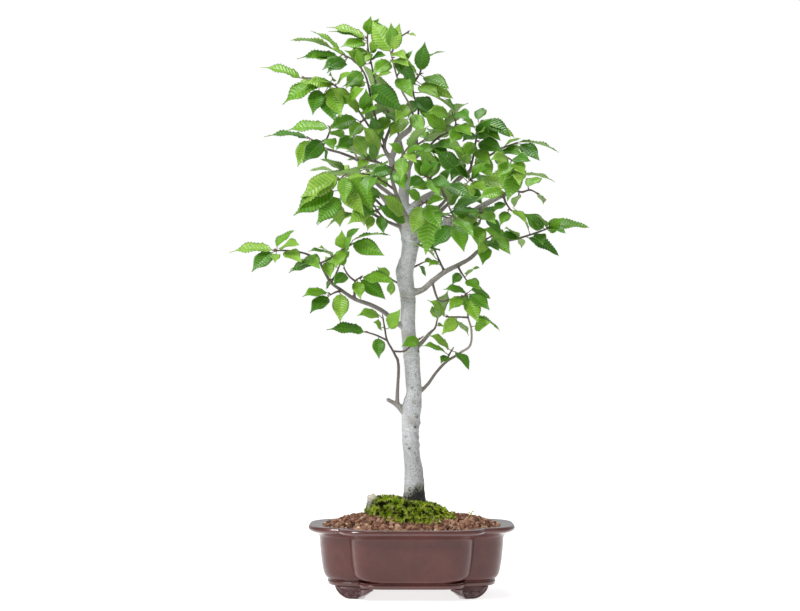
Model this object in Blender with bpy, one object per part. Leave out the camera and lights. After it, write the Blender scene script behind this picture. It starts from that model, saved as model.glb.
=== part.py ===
"""A japanese beech bonsai in its lobed stoneware pot, for Blender 4.5.

Metres, +Z up. The tree's front faces -Y. The origin lies on the surface that the pot stands on,
under the middle of the whole plant.
"""

import math
import random

import bmesh
import bpy
from mathutils import Matrix, Vector
from mathutils.bvhtree import BVHTree

MM = 0.001
GAP = 0.3 * MM
SAME_SPOT = 0.0005 * MM
SHORTEST_EDGE = 0.003 * MM
UNION_TRIES = 9
UP = Vector((0.0, 0.0, 1.0))
TO_VIEWER = Vector((0.0, -1.0, 0.0))

# The view in which the branches and leaves are laid out, as seen from the front.
VIEW_CENTRE_X = 400.0
VIEW_CENTRE_Y = 305.5
VIEW_FOCAL = 1887.0
VIEW_PITCH = 0.0263
EYE = Vector((-0.0122, -2.0, 0.252))

# The pot: half sizes of its body below the rim, and heights above the surface.
FRONT_LOBE_HALF_WIDTH = 65 * MM
FRONT_LOBE_HALF_DEPTH = 78 * MM
SIDE_LOBE_HALF_WIDTH = 96.5 * MM
SIDE_LOBE_HALF_DEPTH = 56 * MM
FRONT_LOBE_SQUARENESS = 6.0
SIDE_LOBE_SQUARENESS = 3.6
LOBE_STEPS = 8
FOOT_HEIGHT = 12.7 * MM
FLOOR_TOP = 19 * MM
WALL_TOP_OFFSET = -3.8 * MM
WALL_FOOT_OFFSET = -14 * MM
# Each pair is an offset outward from the body's outline and a height, from the base upward.
OUTER_PROFILE = (
    (-9.5, 12.7), (-8.5, 13.9), (-8.3, 16.6), (-9.5, 18.0), (-6.6, 20.4), (-4.2, 25.0),
    (-1.9, 37.0), (-0.3, 52.0), (0.6, 62.6), (3.0, 65.6), (8.3, 68.0), (11.5, 69.9),
    (12.0, 72.2), (10.2, 74.5), (-2.6, 73.7),
)
FOOT_HALF_SPAN = 22 * MM
FOOT_THICKNESS = 11.7 * MM
FOOT_END_THICKNESS = 3.5 * MM
FOOT_SINK = 1.5 * MM
FOOT_SHIFT = 2 * MM
# The cloud foot's lower edge, from the pot's end to its front: a share of the half span, and the
# height there in millimetres.
FOOT_EDGE = (
    (-1.0, 11.2), (-0.82, 5.3), (-0.66, 2.2), (-0.48, 0.0), (-0.06, 0.0), (0.27, 2.8), (0.64, 6.2), (1.0, 11.2),
)
DRAIN_X = 42 * MM
DRAIN_RADIUS = 9 * MM
SCREEN_HALF = 14 * MM
SCREEN_THICKNESS = 1.2 * MM
SCREEN_BARS = 2

# Soil and moss.
SOIL_BOTTOM = 21 * MM
SOIL_RIM_HEIGHT = 70.6 * MM
SOIL_TOP_HEIGHT = 82 * MM
SOIL_TOP_HALF_WIDTH = 50 * MM
SOIL_TOP_HALF_DEPTH = 42 * MM
SOIL_RELIEF = 1.3 * MM
MOSS_CENTRE = Vector((-4 * MM, -8 * MM, 0))
MOSS_HALF_WIDTH = 43 * MM
MOSS_HALF_DEPTH = 31 * MM
MOSS_PEAK = 18 * MM
MOSS_EDGE = 2.5 * MM
# How steeply the mound's side falls: on its right and, added to that, on its left.
MOSS_FALL = (1.9, 6.5)
TRUNK_FOOT_HEIGHT = 42 * MM
TRUNK_HOLE_RADIUS = 15.2 * MM
STUB_PLACE = Vector((-42 * MM, -6 * MM, 0))
STUB_RADIUS = 4.5 * MM
STUB_BOTTOM = 62 * MM
STUB_TOP = 106.5 * MM

# Leaves.
LEAF_LENGTH = 42 * MM
LEAF_LONGEST = 50 * MM
LEAF_WIDTH_SHARE = 0.47
LEAF_THICKNESS = 1.0 * MM
LEAF_FOLD = 0.16
LEAF_WAVE = 0.7 * MM
EDGE_STATIONS = (0.13, 0.36, 0.60, 0.82)
RIB_STATIONS = (0.34, 0.72)
PETIOLE_RADIUS = 0.55 * MM
PETIOLE_LONGEST = 12 * MM
STALK_START_RADIUS = 0.28 * MM
SHORT_STALK = 3 * MM
SHARPEST_KINK = -0.2
SINK = 0.12 * MM
SINK_STEP = 0.03 * MM
TWIG_END_MARGIN = 0.9 * MM
CLEARANCE = 0.35 * MM

# Each twig is cut off just outside its branch, so that the branch keeps a short spur.
SPUR_LENGTH = 4 * MM
THICK_BRANCH = 3.9
# A side shoot starts a little below the point it is named for, so that no two edges coincide.
START_SHIFT = 0.45 * MM
TWIG_RADIUS = 1.25 * MM
TWIG_TIP_RADIUS = 0.95 * MM

# Branches of the tree: places in the view in pixels, depth behind the trunk and radius in
# millimetres.
BRANCHES = {
    "trunk": (
        (414.4, 553.6, 0, 12.4), (414.5, 520, 0, 13.6), (414.4, 506, 0, 13.4), (414.1, 499, 0, 12.0),
        (414, 490, 0, 11.0), (414.2, 476, 0, 10.0), (411.9, 457, 0, 8.6), (410.4, 437, 0, 8.7),
        (411, 416, 0, 9.8), (412, 406, 0, 10.2), (413.9, 393, 0, 8.0), (412.2, 368, 0, 8.2),
        (411.2, 354, 0, 8.5), (409.4, 342, 0, 7.5), (408, 322, 0, 7.5), (408, 300, 0, 7.7),
        (406.5, 288, 0, 8.2), (405, 272, 0, 9.2), (409, 255, 0, 8.3), (410.9, 238, 0, 9.4),
        (410.3, 224, 0, 10.2), (408.5, 211, 1, 7.6),
    ),
    "leader": ((409, 216, 0, 7.6), (404, 205, 2, 6.0), (403, 196, 3, 5.2), (404, 184, 4, 4.7)),
    "leader_left": ((404, 186, 4, 4.4), (397, 178, 4, 4.0), (393.6, 170, 3, 3.6), (391, 158, 2, 3.3)),
    "leader_thin": (
        (391.4, 160, 2, 2.6), (385, 150, 0, 2.1), (384.5, 144, -1, 1.9), (387, 136, -2, 1.7), (390, 128, -3, 1.5),
    ),
    "leader_stub": ((391, 160, 2, 3.0), (395, 149, 3, 3.3), (397, 142, 3, 3.3), (401, 136, 4, 3.3), (409, 130, 4, 3.1)),
    "leader_right": (
        (404, 187, 4, 4.2), (407, 178, 9, 3.5), (408.5, 168, 14, 3.0), (412, 160, 18, 2.8),
        (418, 154, 21, 2.7), (416.5, 146, 24, 2.3), (416, 136, 27, 1.9),
    ),
    "pale_fork": (
        (409, 214, 2, 5.6), (418, 203, 9, 4.2), (433, 194, 19, 3.6), (447, 192, 27, 3.2),
        (452, 186, 31, 2.9), (461, 177, 37, 2.6), (470, 171, 42, 2.3), (479, 163, 47, 1.9),
    ),
    "upper_right": (
        (411, 237, 0, 5.4), (428, 229, -8, 4.5), (455.7, 220, -18, 4.0), (469.7, 214, -23, 3.5),
        (480.6, 207, -28, 3.2), (493, 200, -32, 2.8), (503, 195, -35, 2.5), (512, 190, -37, 2.1), (520, 180, -39, 1.7),
    ),
    "lower_right": (
        (408, 293, 0, 4.0), (422, 290, -2, 3.1), (432, 281.5, -6, 2.8), (444.6, 272, -10, 2.7),
        (457.4, 265.5, -12, 2.4), (470, 258.5, -13, 2.2), (480, 249.5, -13, 2.0), (489, 245, -12, 1.8), (507, 241, -10, 1.6),
    ),
    "left_low": ((409, 230, 0, 3.0), (398, 226, -4, 2.0), (385, 220.5, -8, 1.7), (373, 214, -11, 1.5), (361, 207, -13, 1.4)),
    "left_high": ((408, 226, 0, 2.6), (397, 221, 4, 1.9), (388.5, 213, 8, 1.6), (376, 200, 12, 1.4)),
    "upper_left": (
        (405, 207, 2, 3.4), (390, 194, 14, 2.3), (376, 183, 22, 2.0), (368, 171, 28, 1.8),
        (358, 160.5, 32, 1.7), (341, 153, 36, 1.5), (330, 150, 38, 1.4),
    ),
    "left_lower": (
        (407, 328, 0, 3.6), (397, 323, -3, 2.6), (384, 312, -6, 2.4), (371, 305, -8, 2.3), (354.6, 299, -10, 2.1),
        (342, 290.7, -12, 1.9), (331, 282.4, -14, 1.7), (323.4, 269.6, -15, 1.5),
    ),
    "left_shoot": ((410, 413, 0, 4.4), (401, 409, -3, 3.2), (397.5, 402, -6, 2.2), (397.8, 385, -10, 1.7), (398.6, 370, -13, 1.6), (397.7, 360, -15, 1.5)),
    "cut_stub": ((400, 407, -4, 2.4), (393, 402.5, -5, 2.2), (387.5, 399.5, -5, 2.1)),
    "right_thin": ((413, 397, 0, 3.4), (421, 391, 0, 2.0), (428.7, 383, 0, 1.8), (435.7, 373, -1, 1.6), (446, 362, -2, 1.5), (458.7, 354, -4, 1.4)),
    "right_short": ((411, 352, 0, 4.0), (421.7, 342.5, 3, 2.3), (429, 334, 5, 1.9)),
    "back_left": ((408, 240, 0, 5.0), (399, 222, 28, 3.2), (388, 205, 52, 2.4), (378, 192, 72, 1.7)),
    "back_right": ((412, 248, 0, 5.0), (424, 230, 26, 3.4), (438, 214, 48, 2.5), (450, 202, 68, 1.7)),
    "back_up": ((404, 200, 4, 4.0), (408, 180, 24, 2.9), (404, 158, 42, 2.3), (400, 140, 54, 1.7)),
    "front_up": ((409, 224, 0, 4.0), (401, 207, -24, 2.7), (395, 190, -44, 2.1), (391, 174, -58, 1.6)),
    "front_right": ((411, 242, 0, 4.0), (420, 228, -26, 2.7), (434, 212, -46, 2.1), (446, 199, -60, 1.6)),
}

# Sprays. Each has its branch and the number of the point there that it grows from, its twigs
# (places in the view, depth in millimetres; a side twig starts on a point of the first), its
# leaves (foot and tip in the view, share of the swing towards the viewer, share in which the
# upper face looks at the viewer) and a number of further leaves set by rule.
SPRAYS = {
    "spray_top": {
        "branch": ("leader_thin", 4),
        "twigs": [[(388, 112, 6), (381, 97, 12), (375, 80, 16), (371, 62, 19), (368, 48, 21), (367.4, 38, 22)]],
        "leaves": [
            (367.4, 34, 371, 15.6, 0.6, 0.8), (367, 41, 327.8, 31.4, 0.4, 0.3), (368, 50, 348, 56, 0.6, 0.6),
            (371, 58, 387, 55, 0.7, 0.7), (375, 78, 392, 72, 0.9, 0.7),
        ],
        "more": 1,
    },
    "spray_top_left": {
        "branch": ("leader_thin", 2),
        "twigs": [[(378, 126, -10), (372, 104, -18), (367, 80, -20), (361.7, 69, -20), (353, 60, -19), (342, 54, -17)]],
        "leaves": [
            (336, 51, 281, 38.4, 0.1, 0.0), (338, 57, 296.6, 59.3, 0.4, 0.35), (345, 60, 322, 70, 0.8, 0.7),
            (361, 72, 344, 90, 0.8, 0.8), (366, 84, 401, 111, 0.9, 0.75), (362, 68, 356, 46, 0.5, 0.6),
        ],
        "more": 1,
    },
    "spray_left_high": {
        "branch": ("leader_thin", 1),
        "twigs": [[(375, 136, -12), (365.5, 121, -20), (357, 108.6, -25), (344.5, 94.6, -28), (334, 85, -29), (322, 79, -28), (304, 78, -26)]],
        "leaves": [
            (300, 78, 260.3, 67.6, 0.5, 0.35), (320, 82, 278.8, 99.5, 0.7, 0.5), (319, 90, 312.6, 115.4, 0.6, 0.7),
            (330, 88, 333, 120, 0.6, 0.95), (332, 80, 321, 63, 0.8, 0.6), (349, 98, 357, 80, 0.8, 0.7),
        ],
        "more": 1,
    },
    "spray_left_mid": {
        "branch": ("upper_left", 6),
        "twigs": [[(322, 147, 37), (314, 141, 35), (309, 138, 33)], [(322, 147, 37), (328, 136, 31), (331, 127, 27)]],
        "leaves": [
            (328.5, 126.3, 282, 130, 0.5, 0.4), (309, 139, 262.2, 137.8, 0.4, 0.25), (322, 141, 302.5, 163.4, 0.9, 0.9),
            (326, 148, 327, 162, -0.5, 0.6), (331, 125, 345, 117, 0.7, 0.5),
        ],
        "more": 1,
    },
    "spray_left_inner": {
        "branch": ("upper_left", 4),
        "twigs": [[(354, 150, 19), (353, 140, 8), (356, 130, 0), (362, 121, -5)]],
        "leaves": [
            (352, 136, 333.6, 149, 0.7, 0.9), (357, 134, 369, 158, 0.6, 0.9), (356, 119, 327.9, 130, 0.7, 0.7),
            (364, 112, 352.8, 127.6, 0.7, 0.8),
        ],
        "more": 1,
    },
    "spray_left_low": {
        "branch": ("left_low", 4),
        "twigs": [[(354, 203, -18), (346, 198, -22), (340, 190, -24), (340, 180, -25), (346, 174, -25)]],
        "leaves": [
            (338, 177, 300.2, 197.8, 0.7, 0.75), (334, 191, 286.7, 219.9, 0.6, 0.6), (340, 198.5, 310, 218.9, 0.7, 0.7),
            (337, 203, 340, 227.2, -0.3, 0.6), (347.7, 176, 347, 204.2, 0.6, 0.95), (352.8, 176, 372.5, 212.5, 0.5, 0.6),
        ],
        "more": 0,
    },
    "spray_left_under": {
        "branch": ("left_low", 2),
        "twigs": [[(379, 213, -16), (375, 207, -22)]],
        "leaves": [(372, 206, 352, 216, 0.7, 0.8), (372, 216, 367.4, 231, 0.3, 0.7), (384, 211, 382, 228, 0.4, 0.8)],
        "more": 1,
    },
    "spray_left_black": {
        "branch": ("left_high", 3),
        "twigs": [[(368, 192, 12), (362, 184, 10), (360, 176, 6)]],
        "leaves": [(359, 172, 385, 167, 0.6, 0.3), (364, 186, 351, 200, 0.4, 0.6)],
        "more": 3,
    },
    "spray_leader_left": {
        "branch": ("leader_left", 2),
        "twigs": [[(385, 165, -10), (377, 162, -16), (368, 160, -20)]],
        "leaves": [(376, 158, 366, 143, 0.8, 0.8), (368, 162, 356, 171, 0.6, 0.6)],
        "more": 3,
    },
    "spray_front_up": {
        "branch": ("front_up", 3),
        "twigs": [[(394, 165, -66), (401, 158, -70), (406, 150, -73)]],
        "leaves": [(397, 174, 378, 191.5, 0.6, 0.8), (402, 152, 386, 142, 0.5, 0.8), (406, 148, 424, 146, 0.6, 0.7)],
        "more": 2,
    },
    "spray_upper_mid": {
        "branch": ("leader_stub", 4),
        "twigs": [
            [(413, 120, 1), (412, 110.5, -3), (407.6, 101, -6), (403, 93, -9), (398, 80, -11), (394, 66, -12), (391, 54, -12)],
            [(391, 54, -12), (397, 40, -10), (407, 32.5, -8)],
        ],
        "leaves": [
            (390.4, 49, 388.5, 21, 0.5, 0.95), (392, 60, 409, 67, 0.9, 0.6), (390, 62, 372, 75, 0.8, 0.8),
            (397, 76, 413, 98, 0.8, 0.6), (410, 104, 396, 122, 0.7, 0.8), (408, 32, 418, 35, 0.1, 0.5),
        ],
        "more": 1,
    },
    "spray_top_right": {
        "branch": ("leader_right", 6),
        "twigs": [[(418, 120, 30), (418, 106, 32), (414, 96.5, 32), (413, 84, 31), (418, 76, 30)], [(413, 84, 31), (420, 73, 40), (422, 64, 44)]],
        "leaves": [
            (420, 73, 425, 41.5, 0.6, 0.9), (424, 77, 449.7, 89.3, 0.8, 0.5), (421, 84, 453.6, 98.9, 0.5, 0.6),
            (411, 80, 398, 63, 0.6, 0.6), (421, 62, 445, 51.7, -0.4, 0.05), (418, 97, 433, 116, 0.8, 0.8),
            (424, 92, 465, 108.4, 0.3, 0.1),
        ],
        "more": 0,
    },
    "spray_right_high": {
        "branch": ("leader_right", 4),
        "twigs": [[(427, 148, 18), (439, 137, 14), (450.6, 131, 11), (455.7, 124, 9), (453, 115, 7)]],
        "leaves": [
            (448, 114, 426, 112, 0.8, 0.8), (456, 113, 470.5, 120, 0.9, 0.8), (460, 128, 450.4, 145.4, 0.7, 0.8),
            (449, 132, 430.6, 131.4, 0.5, 0.3), (431, 144, 451, 148, 0.8, 0.6), (455, 112, 444, 98, 0.6, 0.6),
        ],
        "more": 0,
    },
    "spray_right_arch": {
        "branch": ("pale_fork", 6),
        "twigs": [[(473, 158, 35), (475, 146, 29), (477, 134, 25), (480, 124, 23)]],
        "leaves": [
            (483, 120, 511, 137.8, 0.7, 0.5), (474, 126, 462, 120, 0.8, 0.8), (480, 134, 496, 133, 0.9, 0.7),
            (474, 142, 460, 158, 0.7, 0.8), (479, 142, 504, 152, 0.8, 0.8), (478, 120, 484, 108, -0.6, 0.3),
        ],
        "more": 0,
    },
    "spray_right_far": {
        "branch": ("pale_fork", 7),
        "twigs": [[(492, 154, 45), (505, 147, 43), (516, 143, 42)]],
        "leaves": [
            (496, 145, 518.6, 149.2, 0.9, 0.6), (521, 144, 540, 161, 0.6, 0.7), (519, 142, 555.5, 161.5, -0.4, 0.05),
            (498, 154, 507, 172, 0.5, 0.8), (508, 144, 529, 152, -0.6, 0.4),
        ],
        "more": 1,
    },
    "spray_right_mid": {
        "branch": ("upper_right", 8),
        "twigs": [[(522, 172, -41), (517, 164, -43), (510, 159, -44)]],
        "leaves": [
            (514, 158, 531, 161.5, 0.8, 0.8), (518, 166, 519.3, 186, 0.8, 0.9), (524, 174, 553.7, 190.8, -0.3, 0.05),
            (507, 158, 490, 160, 0.8, 0.8), (510, 163, 498, 178, 0.8, 0.7),
        ],
        "more": 0,
    },
    "spray_right_curl": {
        "branch": ("upper_right", 7),
        "twigs": [[(522, 192, -31), (530, 190, -24), (537, 193, -18)]],
        "leaves": [(538, 195, 545, 207, -0.7, 0.5), (519, 195, 514, 208, -0.6, 0.5), (528, 187, 541, 178, -0.8, 0.3)],
        "more": 0,
    },
    "spray_right_edge": {
        "branch": ("upper_right", 6),
        "twigs": [[(506, 203, -40), (510, 209, -44)]],
        "leaves": [(505, 202, 493, 212, 0.5, 0.5), (512, 210, 527, 224, 0.4, 0.2), (508, 212, 500, 226, 0.5, 0.6)],
        "more": 0,
    },
    "spray_right_tip": {
        "branch": ("lower_right", 8),
        "twigs": [[(518, 238.5, -9), (528, 235.5, -8), (540, 231.4, -7), (548, 228.5, -6)]],
        "leaves": [
            (551, 227, 590, 227.8, 0.2, 0.35), (547, 226, 534.6, 211.9, 0.7, 0.4), (526, 237.4, 560, 257.8, 0.4, 0.4),
            (529, 231, 512, 207, 0.3, 0.25), (538, 234, 544.5, 247, 0.8, 0.6), (522, 239, 522, 250, -0.5, 0.5),
            (518, 236, 503, 226, 0.8, 0.4),
        ],
        "more": 0,
    },
    "spray_right_droop": {
        "branch": ("lower_right", 6),
        "twigs": [[(484, 241, -21), (490, 237, -26)]],
        "leaves": [(493, 237, 510.7, 254.8, 0.7, 0.6), (489, 241, 479, 258, 0.3, 0.9), (481, 240, 466, 233, 0.7, 0.6)],
        "more": 0,
    },
    "spray_right_hang": {
        "branch": ("upper_right", 4),
        "twigs": [[(481, 215, -36), (480, 222, -41)]],
        "leaves": [(478, 226, 480, 249, 0.6, 0.9), (486, 217, 500.8, 236.7, 0.3, 0.3), (475, 217, 462, 226, 0.6, 0.7)],
        "more": 0,
    },
    "spray_mid_edge": {
        "branch": ("upper_right", 2),
        "twigs": [[(452, 213, -33), (449, 207, -39)]],
        "leaves": [(451, 216, 477.2, 245.7, 0.2, 0.2), (455, 224, 463.4, 249.2, 0.6, 0.4), (450, 204, 463, 190, 0.6, 0.7)],
        "more": 1,
    },
    "spray_centre_front": {
        "branch": ("front_right", 1),
        "twigs": [[(414, 215, -36), (418, 207, -46), (426, 202, -52)]],
        "leaves": [
            (422, 204.2, 411.7, 234.8, 0.7, 0.95), (427, 203, 445.3, 238, 0.5, 0.9), (431, 212, 425.5, 255.2, 0.2, 0.9),
            (420, 199, 405, 190, 0.5, 0.8),
        ],
        "more": 0,
    },
    "spray_centre_right": {
        "branch": ("front_right", 3),
        "twigs": [[(441, 189, -66), (433, 181, -70), (426, 176, -72)]],
        "leaves": [
            (428, 181, 449, 189, 0.7, 0.8), (424, 172, 440, 162, 0.5, 0.7), (422, 178, 408, 188, 0.7, 0.8),
            (446, 185, 472.7, 199, 0.5, 0.6), (440, 183, 452, 168, 0.4, 0.7),
        ],
        "more": 0,
    },
    "spray_mid_right": {
        "branch": ("pale_fork", 4),
        "twigs": [[(458, 190, 19), (464, 186, 10), (470, 180, 3)]],
        "leaves": [
            (463.8, 181, 469.5, 197, 0.6, 0.7), (468, 177, 452, 166, 0.7, 0.7), (473, 182, 487, 192, 0.8, 0.8),
            (473, 176, 488, 168, 0.8, 0.7),
        ],
        "more": 1,
    },
    "spray_low_right": {
        "branch": ("lower_right", 2),
        "twigs": [[(436.4, 296, -14), (440, 301, -17), (452, 299, -21), (466, 295.5, -24)]],
        "leaves": [
            (465, 291.5, 443, 289.6, 0.4, 0.5), (463, 297, 448.6, 312, 0.7, 0.6), (470.3, 294, 490, 310.6, 0.6, 0.6),
            (471, 290, 492, 304, -0.5, 0.5), (468, 298, 476.7, 311, 0.8, 0.7),
        ],
        "more": 1,
    },
    "spray_low_right_up": {
        "branch": ("lower_right", 3),
        "twigs": [[(440, 262, -4), (436, 253, 2)]],
        "leaves": [(437, 262, 426, 268, 0.5, 0.5), (434, 249, 424, 240, -0.5, 0.6)],
        "more": 2,
    },
    "spray_low_right_hang": {
        "branch": ("lower_right", 4),
        "twigs": [[(461, 272, -20), (465, 278, -24)]],
        "leaves": [(459, 273, 450, 286, 0.5, 0.8), (467, 280, 481, 290, 0.6, 0.7), (467, 275, 480, 268, 0.8, 0.5)],
        "more": 0,
    },
    "spray_right_stem": {
        "branch": ("right_thin", 5),
        "twigs": [
            [(470, 345.7, -6), (471.4, 330, -8), (468, 317, -10), (467.4, 308, -11)],
            [(468, 317, -10), (458, 317, -16), (448, 317, -20)],
        ],
        "leaves": [
            (475, 326, 491, 322, 0.9, 0.9), (471, 315, 500, 331, 0.3, 0.05), (458, 319, 441.6, 337, 0.6, 0.85),
            (445, 316, 427, 299.8, 0.5, 0.5), (454, 321, 469, 336, -0.4, 0.1), (466, 306, 458, 296, -0.8, 0.5),
        ],
        "more": 0,
    },
    "spray_right_foot": {
        "branch": ("right_thin", 4),
        "twigs": [[(449, 355, -9), (452, 350, -13)]],
        "leaves": [
            (449, 349, 427.6, 335, 0.6, 0.5), (446, 353, 421.2, 346, 0.7, 0.4), (449, 356, 441, 364, 0.7, 0.6),
            (456, 352, 469, 370.6, 0.5, 0.05),
        ],
        "more": 0,
    },
    "spray_right_short": {
        "branch": ("right_short", 2),
        "twigs": [[(435, 328, 5), (437, 321, 2)]],
        "leaves": [(437, 318, 432, 306, -0.4, 0.7), (439, 326, 450, 332, -0.8, 0.5)],
        "more": 1,
    },
    "spray_left_shoot": {
        "branch": ("left_shoot", 5),
        "twigs": [
            [(393, 351, -17), (387, 340, -18), (385, 330, -18), (383, 318, -17)],
            [(393, 351, -17), (404.4, 351, -19), (412, 345, -20), (421, 338, -19)],
            [(387, 340, -18), (377, 335.5, -19), (368, 332.5, -20)],
        ],
        "leaves": [
            (378, 338, 378.4, 361, 0.6, 0.95), (364, 332, 326.1, 330, 0.2, 0.4), (389, 328, 400.8, 308.7, 0.6, 0.8),
            (379, 315, 356.8, 315.7, 0.7, 0.6), (422, 335, 404.6, 342.5, 0.6, 0.8), (381, 328, 373, 322, 0.7, 0.8),
        ],
        "more": 0,
    },
    "spray_left_reach": {
        "branch": ("left_lower", 7),
        "twigs": [
            [(320, 263, -17), (309, 255, -19), (296, 251.5, -21), (284, 250.5, -22), (276, 250.6, -23)],
            [(320, 263, -17), (330, 258.5, -22), (341, 250.5, -26), (350, 245.5, -28)],
        ],
        "leaves": [
            (272, 250, 229.3, 252.7, 0.4, 0.35), (272, 252.5, 245.6, 268, 0.7, 0.6), (276, 254, 275.6, 268, 0.5, 0.7),
            (277, 247, 294.7, 230.1, -0.6, 0.05), (281, 247.5, 300, 245, 0.9, 0.6), (284, 252.5, 302, 264.5, 0.8, 0.6),
            (306, 257, 319.6, 272, 0.8, 0.8), (312, 260, 288, 273, -0.7, 0.4), (330, 254, 307.5, 251.4, 0.5, 0.3),
            (342, 247, 356.6, 231.6, 0.8, 0.85), (353, 243, 384.6, 255.9, 0.5, 0.7), (353, 240, 391, 235.5, -0.4, 0.1),
        ],
        "more": 0,
    },
    "spray_left_fork": {
        "branch": ("left_lower", 4),
        "twigs": [[(354.4, 288, -14), (355.5, 281, -16), (360, 277.5, -18)], [(355.5, 281, -16), (349, 276, -20), (345, 270, -22)]],
        "leaves": [
            (363, 277, 395, 283, 0.6, 0.5), (358, 281, 361.7, 301, 0.7, 0.7), (361, 280, 377.2, 306, 0.6, 0.6),
            (345, 274, 331, 287, 0.8, 0.8), (344, 266, 336, 252, -0.5, 0.5),
        ],
        "more": 0,
    },
    "spray_left_hang": {
        "branch": ("left_lower", 5),
        "twigs": [[(336, 292, -20), (330, 295, -24)]],
        "leaves": [
            (341, 294, 340.2, 322.7, 0.6, 0.95), (328, 297, 309.6, 313.8, 0.7, 0.6), (326, 292, 302, 297, 0.7, 0.5),
        ],
        "more": 0,
    },
    "spray_left_behind": {
        "branch": ("left_lower", 6),
        "twigs": [[(336, 274, -4), (340, 264, 4)]],
        "leaves": [(341, 262, 346, 248, -0.6, 0.7), (337, 268, 324, 256, -0.6, 0.6), (334, 278, 326, 290, -0.4, 0.6)],
        "more": 0,
    },
    "spray_trunk_left": {
        "branch": ("trunk", 16),
        "twigs": [[(396, 282, 14), (391, 279, 17)]],
        "leaves": [(389, 277, 377, 267, -0.3, 0.5), (391, 281, 389.7, 297, -0.4, 0.7)],
        "more": 1,
    },
    "spray_trunk_right": {
        "branch": ("trunk", 17),
        "twigs": [[(416, 266, 14), (422, 263, 17)]],
        "leaves": [(420, 267, 427, 279, -0.4, 0.6), (425, 262, 441, 266, -0.7, 0.5)],
        "more": 1,
    },
    "spray_back_left": {
        "branch": ("back_left", 3), "twigs": [[(366, 182, 84), (352, 176, 94), (340, 172, 100)]], "leaves": [], "more": 7,
    },
    "spray_back_left_low": {
        "branch": ("back_left", 2), "twigs": [[(372, 212, 60), (356, 214, 70), (342, 212, 76)]], "leaves": [], "more": 6,
    },
    "spray_back_right": {
        "branch": ("back_right", 3), "twigs": [[(462, 192, 80), (476, 184, 90), (488, 180, 97)]], "leaves": [], "more": 7,
    },
    "spray_back_right_low": {
        "branch": ("back_right", 2), "twigs": [[(448, 218, 58), (462, 220, 68), (476, 218, 76)]], "leaves": [], "more": 6,
    },
    "spray_back_up": {
        "branch": ("back_up", 3), "twigs": [[(396, 124, 60), (388, 108, 62), (380, 94, 62)]], "leaves": [], "more": 7,
    },
    "spray_back_mid": {
        "branch": ("back_up", 2), "twigs": [[(416, 146, 54), (430, 136, 64), (442, 128, 72)]], "leaves": [], "more": 7,
    },
    "spray_back_centre": {
        "branch": ("back_up", 1), "twigs": [[(392, 172, 40), (378, 162, 56), (366, 154, 68)]], "leaves": [], "more": 6,
    },
    "spray_front_left": {
        "branch": ("front_up", 2), "twigs": [[(384, 182, -56), (374, 176, -66), (364, 174, -74)]], "leaves": [], "more": 4,
    },
    "spray_front_low": {
        "branch": ("front_right", 2), "twigs": [[(444, 214, -58), (452, 216, -68)]], "leaves": [], "more": 3,
    },
}

# Ways to turn a leaf that would touch something: swing to the side, lift and share of its size.
TURNS = ((0, 0), (13, 0), (-13, 0), (0, 13), (0, -13), (14, 14), (-14, 14), (14, -14), (-14, -14),
         (28, 0), (-28, 0), (0, 28), (0, -28), (30, 20), (-30, 20), (30, -20), (-30, -20), (48, 0), (-48, 0))
SIZES = (1.0, 0.86, 0.72)
# Ways to bend a twig that would touch something: depth added at its far end, in millimetres.
BENDS = (0, 5, -5, 10, -10, 16, -16, 24, -24)


def place(x, y, depth):
    """The point seen at (x, y) in the view, at that depth in millimetres behind the trunk."""
    ahead = Vector((0, math.cos(VIEW_PITCH), math.sin(VIEW_PITCH)))
    above = Vector((0, -math.sin(VIEW_PITCH), math.cos(VIEW_PITCH)))
    ray = ahead + Vector(((x - VIEW_CENTRE_X) / VIEW_FOCAL, 0, 0)) + above * ((VIEW_CENTRE_Y - y) / VIEW_FOCAL)
    return EYE + ray * ((depth * MM - EYE.y) / ray.y)


def clear_scene():
    for obj in list(bpy.data.objects):
        bpy.data.objects.remove(obj, do_unlink=True)


def new_collection(name):
    collection = bpy.data.collections.new(name)
    bpy.context.scene.collection.children.link(collection)
    return collection


def new_material(name, colour, roughness):
    material = bpy.data.materials.new(name)
    material.use_nodes = True
    shader = material.node_tree.nodes["Principled BSDF"]
    shader.inputs["Base Color"].default_value = (*colour, 1.0)
    shader.inputs["Roughness"].default_value = roughness
    shader.inputs["Metallic"].default_value = 0.0
    return material


def add_object(name, mesh, collection, material=None):
    obj = bpy.data.objects.new(name, mesh or bpy.data.meshes.new(name))
    collection.objects.link(obj)
    if material:
        obj.data.materials.clear()
        obj.data.materials.append(material)
    return obj


def mesh_from(name, points, faces):
    """A closed mesh with its faces turned outward."""
    mesh = bpy.data.meshes.new(name)
    mesh.from_pydata([tuple(p) for p in points], [], faces)
    shape = bmesh.new()
    shape.from_mesh(mesh)
    bmesh.ops.triangulate(shape, faces=shape.faces)
    bmesh.ops.recalc_face_normals(shape, faces=shape.faces)
    shape.to_mesh(mesh)
    shape.free()
    return mesh


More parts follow.
